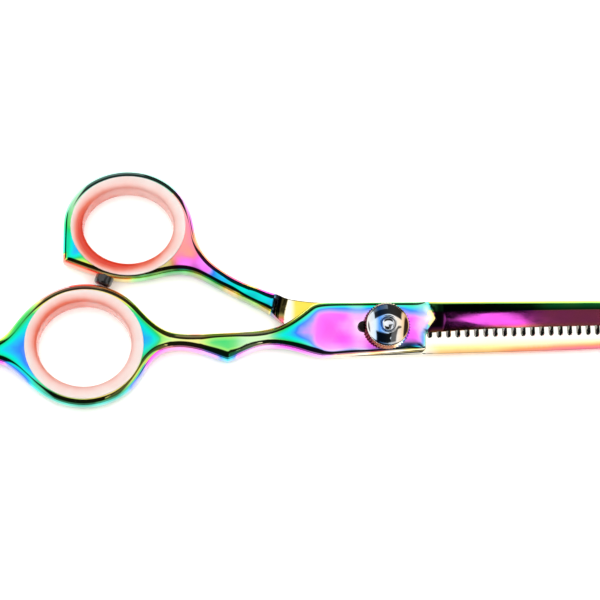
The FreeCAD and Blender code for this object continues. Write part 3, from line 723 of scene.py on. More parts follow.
def dial_material(name):
    """Chrome coloured by painted reflections, blue, white, straw or dark brown, from the tone stored on the
    dial.
    """
    material, tree, shader = new_material(name, 1.0, 0.06)
    tone = ramp(tree, attribute(tree, "tint"), [
        (0.0, (0.3, 0.62, 0.98)), (0.35, (0.84, 0.93, 1.0)), (0.6, (0.97, 0.96, 0.95)),
        (0.8, (0.98, 0.86, 0.68)), (0.9, (0.86, 0.62, 0.42)), (1.0, (0.5, 0.26, 0.18))])
    cloud = noise_node(tree, 500.0, 3.0)
    shade = ramp(tree, cloud, [(0.3, (0.93, 0.93, 0.93)), (0.7, (1.0, 1.0, 1.0))])
    surface(tree, shader, mix(tree, 1.0, tone, shade, "MULTIPLY"),
            span(tree, cloud, 0.3, 0.7, 0.045, 0.09), cloud, 0.05, 0.00001)
    return material


def silicone_material(name):
    """Clear salmon silicone, deeper in colour on the wall inside the ring; its palest colour, on the lip
    and outer faces, is partly a painted sheen.
    """
    material, tree, shader = new_material(name, 0.0, 0.2, {
        "IOR": 1.42, "Transmission Weight": 0.25, "Subsurface Weight": 0.15,
        "Subsurface Radius": (0.0025, 0.0012, 0.001), "Subsurface Scale": 0.4})
    cloud = noise_node(tree, 230.0, 3.0)
    shift = span(tree, cloud, 0.3, 0.7, -0.07, 0.07)
    # The palest stop is partly a painted sheen on the lip, the rest the silicone's pale pink.
    colour = ramp(tree, math_node(tree, "ADD", attribute(tree, "tint"), shift), [
        (0.0, (1.0, 0.94, 0.92)), (0.3, (1.0, 0.8, 0.76)), (0.65, (0.96, 0.5, 0.4)),
        (1.0, (0.9, 0.24, 0.13))])
    rough = span(tree, cloud, 0.3, 0.7, 0.12, 0.24)
    surface(tree, shader, colour, rough, noise_node(tree, 1500.0), 0.05, 0.00002)
    return material


STEEL_COATED = coating_material("coated_steel")
# Near-black metal for the slot walls: painted shade, darkening the deep narrow slots.
SLOT_PAINTED_SHADE = metal_material("slot_wall_painted_shade", (0.05, 0.035, 0.025), (0.12, 0.08, 0.06), 0.55, 1800.0)
CHROME = dial_material("chromed_dial")
SILICONE = silicone_material("salmon_silicone")
RUBBER = polymer_material("gloss_black_rubber", (0.03, 0.03, 0.03), (0.09, 0.09, 0.09), 0.25, 700.0, 0.6)
STUD_STEEL = metal_material("bright_steel", (0.8, 0.82, 0.85), (0.95, 0.96, 0.98), 0.1, 800.0)
TURNED_STEEL = metal_material("turned_steel", (0.52, 0.52, 0.54), (0.74, 0.74, 0.76), 0.3, 1200.0)
PLATE_STEEL = metal_material("dark_polished_steel", (0.07, 0.06, 0.06), (0.16, 0.14, 0.13), 0.12, 900.0)
POLYMER = polymer_material("white_polymer", (0.84, 0.84, 0.8), (0.94, 0.94, 0.92), 0.45, 1500.0)
BRONZE = metal_material("sintered_bronze", (0.5, 0.34, 0.16), (0.72, 0.54, 0.3), 0.42, 2600.0)


def dress(obj, material, body, slot_name, *nodes):
    """Give a piece its material and body, and hide the CAD nodes it stands in for; slot_name is not used.
    """
    obj.data.materials.clear()
    obj.data.materials.append(material)
    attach(obj, body)
    if nodes:
        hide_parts(*nodes)


# ---- swept and turned pieces

def rounded_loop(corners, steps=4):
    """Closed section with rounded corners; each corner is u, v, radius."""
    out = []
    n = len(corners)
    for i in range(n):
        here = np.array(corners[i][:2], float)
        before = np.array(corners[i - 1][:2], float) - here
        after = np.array(corners[(i + 1) % n][:2], float) - here
        radius = corners[i][2]
        if radius <= 0:
            out.append(tuple(here))
            continue
        a = before / np.linalg.norm(before)
        b = after / np.linalg.norm(after)
        half = 0.5 * math.acos(max(-1.0, min(1.0, float(a @ b))))
        reach = radius / math.tan(half)
        start = here + a * reach
        end = here + b * reach
        for k in range(steps + 1):
            t = k / steps
            bend = (1 - t) ** 2 * start + 2 * t * (1 - t) * here + t * t * end
            out.append(tuple(bend))
    return out


def grid_faces(count, size, closed):
    """Quads between copies of a line of points, the last copy joined to the first."""
    faces = []
    for i in range(count):
        j = (i + 1) % count
        for k in range(size if closed else size - 1):
            q = (k + 1) % size
            faces.append((i * size + k, j * size + k, j * size + q, i * size + q))
    return faces


def ring_piece(name, centre, radii, section, count):
    """Closed section swept round an ellipse; u runs outwards from the ellipse and v is height."""
    verts = []
    for i in range(count):
        t = 2 * math.pi * i / count
        nx = math.cos(t) / radii[0]
        ny = math.sin(t) / radii[1]
        size = math.hypot(nx, ny)
        for u, v in section:
            verts.append((centre[0] + radii[0] * math.cos(t) + u * nx / size,
                          centre[1] + radii[1] * math.sin(t) + u * ny / size, v))
    return build(name, verts, grid_faces(count, len(section), True))


def turned_piece(name, profile, count, closed, shape=None):
    """Profile of r, z turned about the Z axis; an open profile starts and ends on the axis."""
    body = profile if closed else profile[1:-1]
    m = len(body)
    verts = []
    for i in range(count):
        t = 2 * math.pi * i / count
        for r, z in body:
            if shape is not None:
                r = shape(t, r, z)
            verts.append((r * math.cos(t), r * math.sin(t), z))
    faces = grid_faces(count, m, closed)
    if not closed:
        verts.append((0, 0, profile[0][1]))
        verts.append((0, 0, profile[-1][1]))
        for i in range(count):
            j = (i + 1) % count
            faces.append((count * m, j * m, i * m))
            faces.append((count * m + 1, i * m + m - 1, j * m + m - 1))
    return build(name, verts, faces)


def arc_through(a, b, c, steps):
    """Points on the circle through three points, from a to c."""
    ax, ay = a
    bx, by = b
    cx, cy = c
    aa = ax ** 2 + ay ** 2
    bb = bx ** 2 + by ** 2
    cc = cx ** 2 + cy ** 2
    d = 2 * (ax * (by - cy) + bx * (cy - ay) + cx * (ay - by))
    ux = (aa * (by - cy) + bb * (cy - ay) + cc * (ay - by)) / d
    uy = (aa * (cx - bx) + bb * (ax - cx) + cc * (bx - ax)) / d
    radius = math.hypot(ax - ux, ay - uy)
    start = math.atan2(ay - uy, ax - ux)
    turn = math.atan2(cy - uy, cx - ux) - start
    turn = (turn + math.pi) % (2 * math.pi) - math.pi
    return [(ux + radius * math.cos(start + turn * k / steps),
             uy + radius * math.sin(start + turn * k / steps)) for k in range(steps + 1)]


# ---- plain half

def rounding(rim, table):
    """Rounding width round a rim: from a table of x, y, width on the handle, small on the blade."""
    return smooth_ring(np.where(rim[:, 0] > PLATE_END - 0.1, 0.1, field(rim, table, 4.0)), 6)


def followers(table, offsets, first, last):
    """Lines from first to last along X that run beside a table's line, one for each offset."""
    xs = np.linspace(first, last, 130)
    return [np.c_[xs, along(xs, table) + offset] for offset in offsets]


plain_rim = plain_loop()
plain_width = rounding(plain_rim, [
    (-95, -18, 1.3), (-75, -5, 1.35), (-50, -8, 1.3), (-50, 3, 1.2), (-40, -5, 1.5), (-33, -7, 1.8),
    (-27, -5, 1.3), (-23, -4, 1.35), (-33, -1, 1.0), (-20, 1.5, 1.1), (-16, -6, 1.5),
    (-10, -6, 0.8), (-6, 5.3, 0.7), (0, -5.6, 0.6), (6, 5.3, 0.7), (5, -5, 0.6), (8.1, -3.5, 0.12)])
finger_hole = ellipse_loop(FINGER, FINGER_BORE, 120)
bush_hole = ellipse_loop((0, 0), (BUSH_HOLE, BUSH_HOLE), 48)
ridge_lines = followers(RIDGE_Y, (-0.06, 0.0, 0.06), 9.0, 74.5)
facet_lines = []
for share in (0.1, 0.26, 0.42, 0.58, 0.74, 0.9, 1.3, 1.55):
    xs = np.linspace(9.3, 68.0 if share > 1 else 74.5, 110)
    across_facet = share * along(xs, RIDGE_Y) + (1 - share) * along(xs, PLAIN_EDGE_Y)
    facet_lines.append(np.c_[xs, np.minimum(across_facet, along(xs, PLAIN_SPINE_Y) - 0.7)])
vee_lines = []
for shift in (-0.2, 0.0, 0.2):
    ys = np.linspace(-2.3, 5.3, 28)
    vee_lines.append(np.c_[vee(ys) + shift, ys])
spine_lines = followers(PLAIN_SPINE_Y, (-0.25, -0.5), 8.7, 74.5)
step_lines = []
for radius in (STEP_FOOT, 21.3, 21.8, 22.4, 23.0, 23.5, STEP_RIM, 24.3):
    t = np.radians(np.linspace(120, 240, 150))
    step_lines.append(np.c_[radius * np.cos(t), radius * np.sin(t)])
plain_half, plain_info = plate(
    "plain_blade_and_shank", plain_rim, plain_width, [finger_hole, bush_hole],
    ridge_lines + facet_lines + vee_lines + spine_lines + step_lines, 9.5, plain_top, plain_bottom)
crisp(plain_half, 22.0)

# ---- comb half

comb_rim = comb_loop()
comb_width = rounding(comb_rim, [
    (-65, 26, 1.35), (-64, 13, 1.2), (-46, 11, 1.3), (-40, 25, 1.2), (-37, 15, 1.3), (-30, 10.5, 1.3),
    (-23, 7.5, 1.35), (-36, 9.5, 1.0), (-28, 5.5, 0.75), (-20, 0, 0.75), (0, 0, 1.2)])
thumb_hole = ellipse_loop(THUMB, THUMB_BORE, 120)
stud_hole = ellipse_loop((0, 0), (STUD_HOLE, STUD_HOLE), 40)
comb_spine_lines = followers(COMB_SPINE_Y, (0.3, 0.6), 8.7, 74.0)
comb_half, comb_info = plate(
    "toothed_blade_and_shank", comb_rim, comb_width, [thumb_hole, stud_hole],
    step_lines + comb_spine_lines, 80.0, comb_top, comb_bottom)


def pinch_slots(obj, info):
    """Narrow each slot towards the underside, as a cutter with sloping sides leaves it."""
    c = math.cos(SLOT_LEAN)
    s = math.sin(SLOT_LEAN)
    for i in np.nonzero(info["gap"] < 1e-4)[0]:
        x, y = info["flat"][i]
        u = c * x + s * y
        v = c * y - s * x
        index = round((u - FIRST_SLOT) / TOOTH_PITCH)
        off_centre = u - FIRST_SLOT - index * TOOTH_PITCH
        in_slot = abs(off_centre) < SLOT_HALF + 0.01 and v > SLOT_ROOT - SLOT_HALF - 0.01
        if not in_slot or not 0 <= index < SLOT_COUNT:
            continue
        shift_u = -SLOT_PINCH * off_centre
        shift_v = SLOT_PINCH * max(SLOT_ROOT - v, 0.0)
        low = obj.data.vertices[int(i) + len(info["flat"])]
        low.co.x += (c * shift_u - s * shift_v) * MM
        low.co.y += (s * shift_u + c * shift_v) * MM


pinch_slots(comb_half, comb_info)
crisp(comb_half, 22.0)

# ---- tint of the two halves

# Each row is x and y in millimetres and a value: FACE is the tint at the face's edges, CLIMB how
# far it runs on inwards, RIM the tint on the rounding; the whiteness tables give a painted highlight
# and the darkness tables a painted reflection of dark surroundings.

PLAIN_FACE = [
    (-96, -18, 0.3), (-92, -11, 0.34), (-86, -7, 0.36), (-80, -5, 0.32), (-76, -4, 0.34),
    (-73, -9, 0.42), (-70, -13, 0.3), (-66, -15.5, 0.14), (-58, -15.2, 0.08), (-52, -10, 0.1),
    (-74, 1, 0.3), (-70, 6, 0.1), (-63, 8.5, 1.1), (-56, 7.5, 0.05), (-50, 1, 0.28),
    (-49, -3, 0.28), (-45, -2.7, 0.14), (-40, -3, 0.1), (-34, -4, 0.22), (-30, -3.5, 0.22),
    (-26, -2.5, 0.18), (-22, -2, 0.28), (-18, -1, 0.32), (-12, 3, 0.33), (-4, 4, 0.32),
    (5, 4, 0.33), (7.4, 3.6, 0.38), (7, -4, 0.42), (7.4, -2.4, 0.44), (-2, -4.5, 0.66),
    (-12, -3.5, 0.64), (8.4, 1.5, 0.45)]
PLAIN_CLIMB = [
    (-90, -10, 0.2), (-76, -4, 0.22), (-60, -15, 0.05), (-62, 8, 0.05), (-49, -1, 0.26),
    (-40, -3, 0.12), (-28, -3, 0.14), (-20, -1, 0.24), (-17.4, 0, 0.36), (-12, 2, 0.52),
    (-12, -3, 0.2), (0, 3.5, 0.52), (0, -4, 0.18), (6, 1, 0.42), (6, -3.4, 0.42),
    (7.6, 3.4, 0.2), (7.6, -2, 0.3), (20, 0, 0.0), (70, 3, 0.0)]
PLAIN_RIM = [
    (-96, -18, 0.3), (-90, -12, 0.8), (-82, -7, 0.86), (-75, -9, 0.62), (-70, -13, 0.42),
    (-62, -16.5, 0.42), (-55, -14.5, 0.44), (-51, -10.5, 0.62), (-47, -6, 0.82), (-42, -5, 0.86),
    (-36, -6.5, 0.66), (-33, -7, 0.48), (-29, -5.8, 0.78), (-23, -4.5, 0.8), (-14, -6.3, 0.76),
    (-9, -5.9, 1.06), (-2, -6, 1.12), (6, -5.5, 1.14), (-90, -8, 0.12), (-80, -3, 0.12), (-74, 2, 0.28),
    (-68, 8, 0.98), (-62, 9.5, 0.96), (-55, 7.5, 1.04), (-50, 2, 0.1), (-44, -1, 0.09),
    (-34, -1, 0.09), (-24, 0, 0.08), (-17, 4, 0.1), (-10, 5.4, 0.26), (0, 5.4, 0.28), (7, 5.3, 0.3)]
PLAIN_PAINTED_GLARE = [
    (-92, -11, 0.0), (-76, -4, 0.0), (-62, -15, 0.15), (-62, 8, 0.25), (-49, -1, 0.0), (-42, -3, 0.25),
    (-34, -4, 0.05), (-27, -3.2, 0.45), (-20, -1.5, 0.0), (-12, 0, 0.03), (-8, 0.2, 0.2),
    (-5.4, 0.4, 0.65), (-5.6, 2.2, 0.2), (-9, 2.5, 0.0), (-9, -2.5, 0.0), (-3, -4.6, 0.0), (-3, 4.6, 0.0),
    (0, 0, 0.0), (5, 2, 0.0), (5, -2, 0.0), (7.9, 0.8, 0.5), (6, -4, 0.0),
    (-10, -6.4, 0.4), (-4, -6.3, 0.7), (2, -6, 0.8), (7, -5.6, 0.8)]

COMB_FACE = [
    (-66, 23, 0.28), (-66, 18, 0.36), (-65.5, 15, 0.38), (-63, 12.5, 0.12), (-60, 11.2, 0.04),
    (-55, 10.2, 1.08), (-50, 10.5, 0.28), (-46, 12, 0.0), (-65, 27, 0.28), (-60, 31, 0.4),
    (-53, 32, 0.42), (-46.5, 30, 0.38), (-42, 26, 1.02), (-40, 21, 0.96), (-39.4, 18, 0.96),
    (-40.5, 15.6, 1.00), (-41, 13.2, 0.8), (-37.5, 13.2, 0.72), (-34, 11.3, 0.48),
    (-30, 9, 0.42), (-26, 6.5, 0.42), (-23, 5.3, 0.48)]
COMB_CLIMB = [
    (-66, 18, 0.22), (-53, 31, 0.0), (-40, 17, 0.03), (-33, 10, 0.08), (-25, 6, 0.06), (20, 0, 0.0)]
COMB_RIM = [
    (-67, 24, 0.36), (-67, 17, 0.42), (-66.5, 14, 1.02), (-61, 12, 1.04), (-55, 9.8, 0.06),
    (-50, 10, 0.28), (-43, 11.8, 0.32), (-36, 9.5, 0.28), (-28, 5.5, 0.2), (-22, 2, 0.1),
    (-66, 28, 0.34), (-60, 32.5, 0.4), (-53, 33.5, 0.42), (-45, 31.5, 0.4), (-41, 27, 0.72),
    (-39.6, 22.5, 0.84), (-38.6, 18.5, 1.08), (-37.2, 15.5, 1.1), (-34.6, 12.8, 1.04), (-31, 10.7, 0.96),
    (-24, 7.6, 0.88), (-20, 6.5, 0.9), (-14, 5.6, 0.06), (-10, -6, 1.12), (5, -5.6, 0.0), (30, -5, 0.0),
    (60, -3, 0.02)]
COMB_PAINTED_GLARE = [(-66, 18, 0.0), (-60, 29, 0.45), (-53, 32, 0.55), (-46, 30, 0.4), (-40, 17, 0.1),
             (-33, 11, 0.0), (-26, 6, 0.0), (-22, 4, 0.0)]
PLAIN_DARK_REFLECTION = [
    (-62, -16.6, 0.5), (-55, -14.8, 0.45), (-69, -14, 0.4), (-51, -11, 0.1), (-75, -9, 0.0),
    (-62, -14, 0.0), (-56, -12.6, 0.0), (-69, -11.8, 0.0), (-40, -4, 0.0), (0, 0, 0.0), (-60, 9, 0.0),
    (-90, -10, 0.0)]
COMB_DARK_REFLECTION = [
    (-66, 20, 0.0), (-60, 11.6, 0.0), (-53, 10, 0.1), (-48, 10.6, 0.3), (-43.5, 12.1, 0.45),
    (-39, 11.5, 0.5), (-34.5, 8.8, 0.5), (-29.5, 6.2, 0.5), (-25, 4.0, 0.5), (-42, 13.6, 0.0),
    (-37.6, 12.9, 0.0), (-33.6, 10.4, 0.0), (-29, 8.0, 0.0), (-24.5, 6.0, 0.0), (-50, 12.3, 0.0),
    (-40, 20, 0.0), (-53, 33, 0.0)]


def plain_extra(flat, tint, pale):
    """Plain blade: magenta lower facet, upper one darkened as a painted dark reflection, straw line at the
    spine, ricasso whitened as a painted highlight.
    """
    x, y = flat.T
    ridge = along(x, RIDGE_Y)
    spine = along(x, PLAIN_SPINE_Y)
    lower = along(x, [(8, 0.9), (11, 0.8), (26, 0.8), (34, 0.92), (50, 0.98), (76, 0.98)])
    edge = along(x, [(8, 1.12), (12, 1.06), (20, 1.02), (30, 1.02), (76, 1.0)])
    near_edge = unit(1 - (y - along(x, PLAIN_EDGE_Y)) / 0.8)
    below_ridge = unit((ridge - y) / 0.12 + 0.5)
    top_line = unit(1 - (spine - y) / 0.6)
    blade = blend(on_wheel(0.3), on_wheel(blend(lower, edge, near_edge)), below_ridge)
    blade = blend(blade, on_wheel(0.06), top_line)
    end = vee(y)
    off_middle = np.abs(y - VEE_TIP[1])
    on_blade = unit((x - end + 0.1) / 0.2)
    slope = unit((x - PLATE_END) / 0.6) * (1 - on_blade)
    tip = unit((x - end + 1.5) / 0.5) * unit(2.3 - off_middle)
    corners = unit(off_middle / 1.6 - 0.9)
    ricasso = blend(blend(tint, on_wheel(0.46), corners), on_wheel(0.06), tip)
    tint = blade * on_blade + ricasso * slope + tint * (1 - on_blade) * (1 - slope)
    # Painted highlight: the ricasso's slope turns white, less so at its corners.
    white = slope * np.clip((end - x) / 1.4, 0.0, 0.95) * (1 - 0.45 * corners)
    pale = pale * (1 - on_blade) * (1 - slope) + white
    # Painted dark reflections: the upper facet darkens towards the ridge and near the blade's start, the
    # lower facet near the ricasso, and the handle where its darkness table says.
    down = unit((spine - 0.6 - y) / np.maximum(spine - 0.7 - ridge, 0.3))
    upper_dark = np.maximum(along(x, [(8, 0.9), (20, 0.85), (40, 0.1), (76, 0.0)]), 0.93 * down)
    lower_dark = along(x, [(8, 0.99), (12.2, 0.99), (13.6, 0.0), (76, 0.0)]) * (1 - 0.7 * near_edge)
    dark = on_blade * (1 - top_line) * blend(upper_dark, lower_dark, below_ridge)
    dark += (1 - on_blade) * field(flat, PLAIN_DARK_REFLECTION, 5.0)
    return tint, pale, dark


# Radius about the pivot where the toothed half's shank begins.
SHANK_FROM = STEP_RIM + 0.4


def comb_extra(flat, tint, pale):
    """Step, plate and toothed blade: a painted white highlight on the teeth, straw below them, rosy at the
    spine; painted highlights on the plate and painted dark reflections in the cove and on the shank.
    """
    x, y = flat.T
    radius = np.hypot(x, y)
    up = y - along(x, COMB_SPINE_Y)
    low = along(x, [(8, 1.1), (24, 1.08), (34, 1.02), (42, 0.98), (76, 0.98)])
    blade = blend(on_wheel(low), on_wheel(0.04), unit((up - 0.3) / 1.6))
    # Painted highlight: white on the teeth, and on the blade's start beside the plate.
    white = np.clip((up - 1.1) / 1.3, 0, 0.92)
    white = np.maximum(white, along(x, [(8, 0.85), (11.5, 0.1), (76, 0.0)]))
    cove_tint = along(radius, [(21.0, 0.06), (22.5, 0.05), (23.0, 0.62), (24.0, 0.5), (26, 0.46)])
    low_tip = unit((3.4 - y) / 1.6)
    cove_tint = blend(on_wheel(cove_tint), on_wheel(0.96), low_tip)
    on_blade = x > PLATE_END
    on_plate = (radius < STEP_RIM + 0.05) & ~on_blade
    in_cove = on_plate & (radius > STEP_FOOT + 0.05)
    # Painted highlight on the plate, whitening its west end and its lower edge.
    plate_white = np.clip((-x - 18.6) / 1.2, 0, 0.85)
    plate_white = np.maximum(plate_white, np.clip((-4.3 - y) / 0.6, 0, 0.8))
    # Painted dark reflections in the cove, in bands by radius, fading towards its low tip.
    cove_dark_reflection = along(radius, [(21.0, 0.9), (21.3, 0.985), (21.8, 0.93), (22.4, 0.99), (23.0, 0.98),
                             (23.5, 0.99), (24.0, 0.7), (24.3, 0.0)])
    cove_dark = np.where((radius > STEP_FOOT + 0.05) & (x < 0), cove_dark_reflection * (1 - 0.9 * low_tip), 0.0)
    # Painted dark reflections on the shank's bevels.
    shank_dark = unit(field(flat, COMB_DARK_REFLECTION, 5.0))
    zones = [on_blade, in_cove, on_plate]
    tint = np.select(zones, [blade, cove_tint, on_wheel(0.07)], tint)
    pale = np.select(zones, [white, 0.0, plate_white], pale)
    # The darkness here is painted dark reflection: a little near the blade's spine, on the shank and in the
    # cove.
    dark = np.select([on_blade, radius > SHANK_FROM], [0.22 * unit(1 - up / 0.9), shank_dark], cove_dark)
    return tint, pale, dark


shade_half(plain_half, plain_info, PLAIN_FACE, PLAIN_CLIMB, PLAIN_RIM, PLAIN_PAINTED_GLARE, plain_extra)
shade_half(comb_half, comb_info, COMB_FACE, COMB_CLIMB, COMB_RIM, COMB_PAINTED_GLARE, comb_extra)
dress(plain_half, STEEL_COATED, "blade_side", "iridescent_steel", "blade_half")
dress(comb_half, STEEL_COATED, "comb_side", "iridescent_steel", "comb_half")
# The slot walls take the near-black metal, which paints the shade inside the slots.
comb_half.data.materials.append(SLOT_PAINTED_SHADE)
# The walls of the slots lie between these values of X, and above this Y.
SLOT_WALLS_FROM = 8.8
SLOT_WALLS_TO = 71.0
SLOT_WALLS_ABOVE = -2.3
for face in comb_half.data.polygons[comb_info["first_wall"]:]:
    c = face.center / MM
    teeth_top = along(c.x, [(8.1, 2.1), (25, 2.4), (45, 2.8), (70, 2.7)])
    lowest = max(SLOT_WALLS_ABOVE, along(c.x, COMB_SPINE_Y) + 0.8)
    if SLOT_WALLS_FROM < c.x < SLOT_WALLS_TO and lowest < c.y < teeth_top:
        face.material_index = 1

# ---- silicone ring inserts

INSERT_SECTION = rounded_loop([
    (-1.38, 0.02, 0.45), (-0.05, 0.0, 0.0), (1.1, 0.04, 0.12), (1.1, 0.43, 0.1), (-0.06, 0.45, 0.0),
    (-0.06, 3.0, 0.0), (-0.06, 5.85, 0.0), (1.12, 5.87, 0.1), (1.1, 6.22, 0.2), (-0.2, 6.3, 0.0),
    (-1.38, 6.26, 0.85), (-1.4, 4.2, 0.0), (-1.42, 3.1, 0.0), (-1.4, 2.0, 0.0)], 6)


def insert(name, centre, radii, body, node, deep_side, depth):
    """Soft ring insert, with its colour deepest on the wall and towards deep_side, in degrees."""
    count = 160
    obj = ring_piece(name, centre, radii, INSERT_SECTION, count)
    crisp(obj, 50.0)
    tint = []
    for i in range(count):
        t = 2 * math.pi * i / count
        lean = (0.5 + 0.5 * math.cos(t - math.radians(deep_side))) ** 1.5
        for u, _ in INSERT_SECTION:
            wall = min(1.0, max(0.0, (-u + 0.2 + 1.5 * depth * lean) / 1.6))
            tint.append(0.03 + wall * (0.34 + depth * lean))
    store(obj, "tint", tint)
    dress(obj, SILICONE, body, "ring_silicone", node)


insert("finger_ring_sleeve", FINGER, FINGER_BORE, "blade_side", "finger_ring_insert", 140, 0.3)
insert("thumb_ring_sleeve", THUMB, THUMB_BORE, "comb_side", "thumb_ring_insert", 225, 0.75)

# ---- tension dial

dome = arc_through((4.2, 7.93), (3.12, 8.615), (1.9, 9.0), 16)
DIAL_PROFILE = [
    (1.54, 8.68), (1.54, 7.9), (1.54, 7.12), (2.8, 7.12), (3.95, 7.12), (3.95, 6.8), (3.95, 6.42),
    (4.3, 6.42), (4.7, 6.42), (4.84, 6.48), (4.9, 6.6), (4.88, 6.72), (4.76, 7.02), (4.64, 7.32),
    (4.52, 7.62), (4.44, 7.8), (4.38, 7.88), (4.3, 7.9)]
DIAL_PROFILE += dome + [(1.84, 9.0), (1.78, 8.98), (1.68, 8.9), (1.58, 8.8)]
DIAL_PROFILE = DIAL_PROFILE[::-1]
KNURLS = 48
NOTCH_RADIUS = 0.24
NOTCH_CENTRE = 0.06
SKIRT_RADIUS = 4.7
SKIRT_TOP = 7.85
SKIRT_LEAST = 4.35


def knurl(t, r, z):
    """Radius where the half-round knurl notches bite into the dial's sloping skirt."""
    if z > SKIRT_TOP or r < SKIRT_LEAST:
        return r
    pitch = 2 * math.pi / KNURLS
    across = ((t + pitch / 2) % pitch - pitch / 2) * SKIRT_RADIUS
    if abs(across) >= NOTCH_RADIUS - 0.005:
        return r
    return r + NOTCH_CENTRE - math.sqrt(NOTCH_RADIUS ** 2 - across ** 2)


dial = turned_piece("knurled_dial", DIAL_PROFILE, KNURLS * 10, True, knurl)
crisp(dial, 28.0)
# Tone across the dial from west to east, on its dome and on its skirt, painted as the reflections the
# chrome would show.
DIAL_PAINTED_REFLECTION = [(-4.2, 0.62), (-3.0, 0.45), (-1.9, 0.0), (-0.8, 0.15), (0.8, 0.55), (2.4, 0.72), (3.6, 0.88)]
SKIRT_PAINTED_REFLECTION = [(-4.9, 1.0), (1.0, 0.97), (3.0, 0.4), (4.9, 0.2)]
store(dial, "tint", [
    along(v.co.x / MM, SKIRT_PAINTED_REFLECTION if v.co.z < SKIRT_TOP * MM else DIAL_PAINTED_REFLECTION) for v in dial.data.vertices])
dress(dial, CHROME, "dial", "polished_steel", "tension_dial")

# ---- pivot stud

STUD_PROFILE = [
    (0.0, 0.02), (1.6, 0.02), (3.2, 0.03), (3.7, 0.1), (3.93, 0.28), (3.98, 0.5), (3.98, 0.9),
    (3.95, 1.22), (3.88, 1.28), (2.3, 1.29), (2.19, 1.35), (2.19, 2.88), (2.0, 2.9), (1.98, 4.5),
    (1.98, 6.02), (1.5, 6.04), (1.49, 7.0), (1.49, 8.35), (1.44, 8.62), (1.3, 8.85),
    (1.05, 9.03), (0.7, 9.14), (0.35, 9.18), (0.0, 9.19)]
stud = turned_piece("domed_stud", STUD_PROFILE, 72, False)
crisp(stud, 35.0)
dress(stud, STUD_STEEL, "comb_side", "polished_steel", "pivot_stud")

# ---- stopper

STOPPER_PROFILE = [
    (0.0, 0.05), (1.0, 0.05), (1.66, 0.06), (1.8, 0.12), (1.84, 0.25), (1.85, 0.6), (1.85, 1.0),
    (1.85, 1.4), (1.83, 1.75), (1.74, 2.03), (1.56, 2.26), (1.3, 2.41), (0.95, 2.48),
    (0.5, 2.5), (0.0, 2.5)]
STOPPER_AT = (-58.1, 10.62, 3.3)
STOPPER_SUNK = 0.9
stopper = turned_piece("barrel_stopper", STOPPER_PROFILE, 64, False)
# It stands square to the heel's facet, whose direction two of the outline's control points give.
facet_turn = math.atan2(COMB_LOWER[2][1] - COMB_LOWER[1][1], COMB_LOWER[2][0] - COMB_LOWER[1][0])
cos_turn = math.cos(facet_turn)
sin_turn = math.sin(facet_turn)
for v in stopper.data.vertices:
    a, b, c = v.co
    c -= STOPPER_SUNK * MM
    v.co.x = STOPPER_AT[0] * MM + cos_turn * a + sin_turn * c
    v.co.y = STOPPER_AT[1] * MM + sin_turn * a - cos_turn * c
    v.co.z = STOPPER_AT[2] * MM + b
crisp(stopper, 40.0)
dress(stopper, RUBBER, "comb_side", "stopper_rubber", "bumper")

# ---- CAD pieces that stay

for node, material in (
        ("bumper_stem", TURNED_STEEL), ("glide_washer", POLYMER), ("pivot_bush", BRONZE),
        ("dial_shim", POLYMER), ("click_plate", PLATE_STEEL), ("spring_washer", TURNED_STEEL),
        ("pressure_washer", TURNED_STEEL)):
    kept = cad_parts[node]
    if not kept.material_slots:
        kept.data.materials.append(material)
    for used in kept.material_slots:
        used.material = material

# ---- floor, light, camera

reach = 1500.0
floor = build("floor", [(-reach, -reach, 0), (reach, -reach, 0), (reach, reach, 0), (-reach, reach, 0)],
              [(0, 1, 2, 3)])
floor.location.z = -0.0001
floor_material, _, _ = new_material("white_table", 0.0, 0.7, {
    "Base Color": (0.93, 0.92, 0.9, 1.0), "Emission Color": (1.0, 0.985, 0.97, 1.0),
    "Emission Strength": 0.08, "Specular IOR Level": 0.2})
floor.data.materials.append(floor_material)
floor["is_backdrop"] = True

world = bpy.data.worlds.new("studio")
scene.world = world
world.use_nodes = True
sky = world.node_tree
sky.nodes.clear()


def sky_math(operation, *values):
    return math_node(sky, operation, *values)


def soft(source, low, high, to_low, to_high):
    """Smooth change between two levels."""
    return span(sky, source, low, high, to_low, to_high, "SMOOTHSTEP")


def grey(level):
    return (level, level, level, 1.0)


def bands(rows, source, low, high):
    """Grey levels from low to high: each row is a place in that range and a level."""
    stops = [((where - low) / (high - low), level) for where, level in rows]
    return ramp(sky, span(sky, source, low, high, 0.0, 1.0), stops, grey)


# Angle from straight up, towards north, in degrees; and how far east, as a direction's X.
parts = new_node(sky, "SeparateXYZ", {"Vector": new_node(sky, "TexCoord").outputs["Generated"]}).outputs
tilt = sky_math("MULTIPLY", sky_math("ARCTAN2", parts["Y"], parts["Z"]), 180 / math.pi)
across = parts["X"]

WEST = [(-180, 0.7), (-96, 0.7), (-90, 0.38), (-62, 0.34), (-59, 0.01), (-15, 0.01), (-8, 1.15),
        (30, 1.15), (34, 0.03), (61, 0.03), (64, 0.22), (86, 0.22), (90, 0.03), (94, 0.7), (180, 0.7)]
EAST = [(-180, 0.7), (-96, 0.7), (-90, 0.6), (-60, 0.6), (-56, 0.01), (-4, 0.01), (4.6, 0.01),
        (8.6, 1.15), (30, 1.15), (34, 0.03), (92, 0.03), (96, 0.7), (180, 0.7)]
sides = [bands(rows, tilt, -180, 180) for rows in (WEST, EAST)]
level = mix(sky, soft(across, 0.12, 0.17, 0.0, 1.0), *sides)
# A little more light from the south-east, which the blade's lower facet mirrors past the lens.
lift = sky_math("MULTIPLY", soft(across, 0.25, 0.262, 0.0, 0.13), soft(tilt, 2.0, 7.0, 1.0, 0.0))
level = mix(sky, 1.0, level, lift, "ADD")
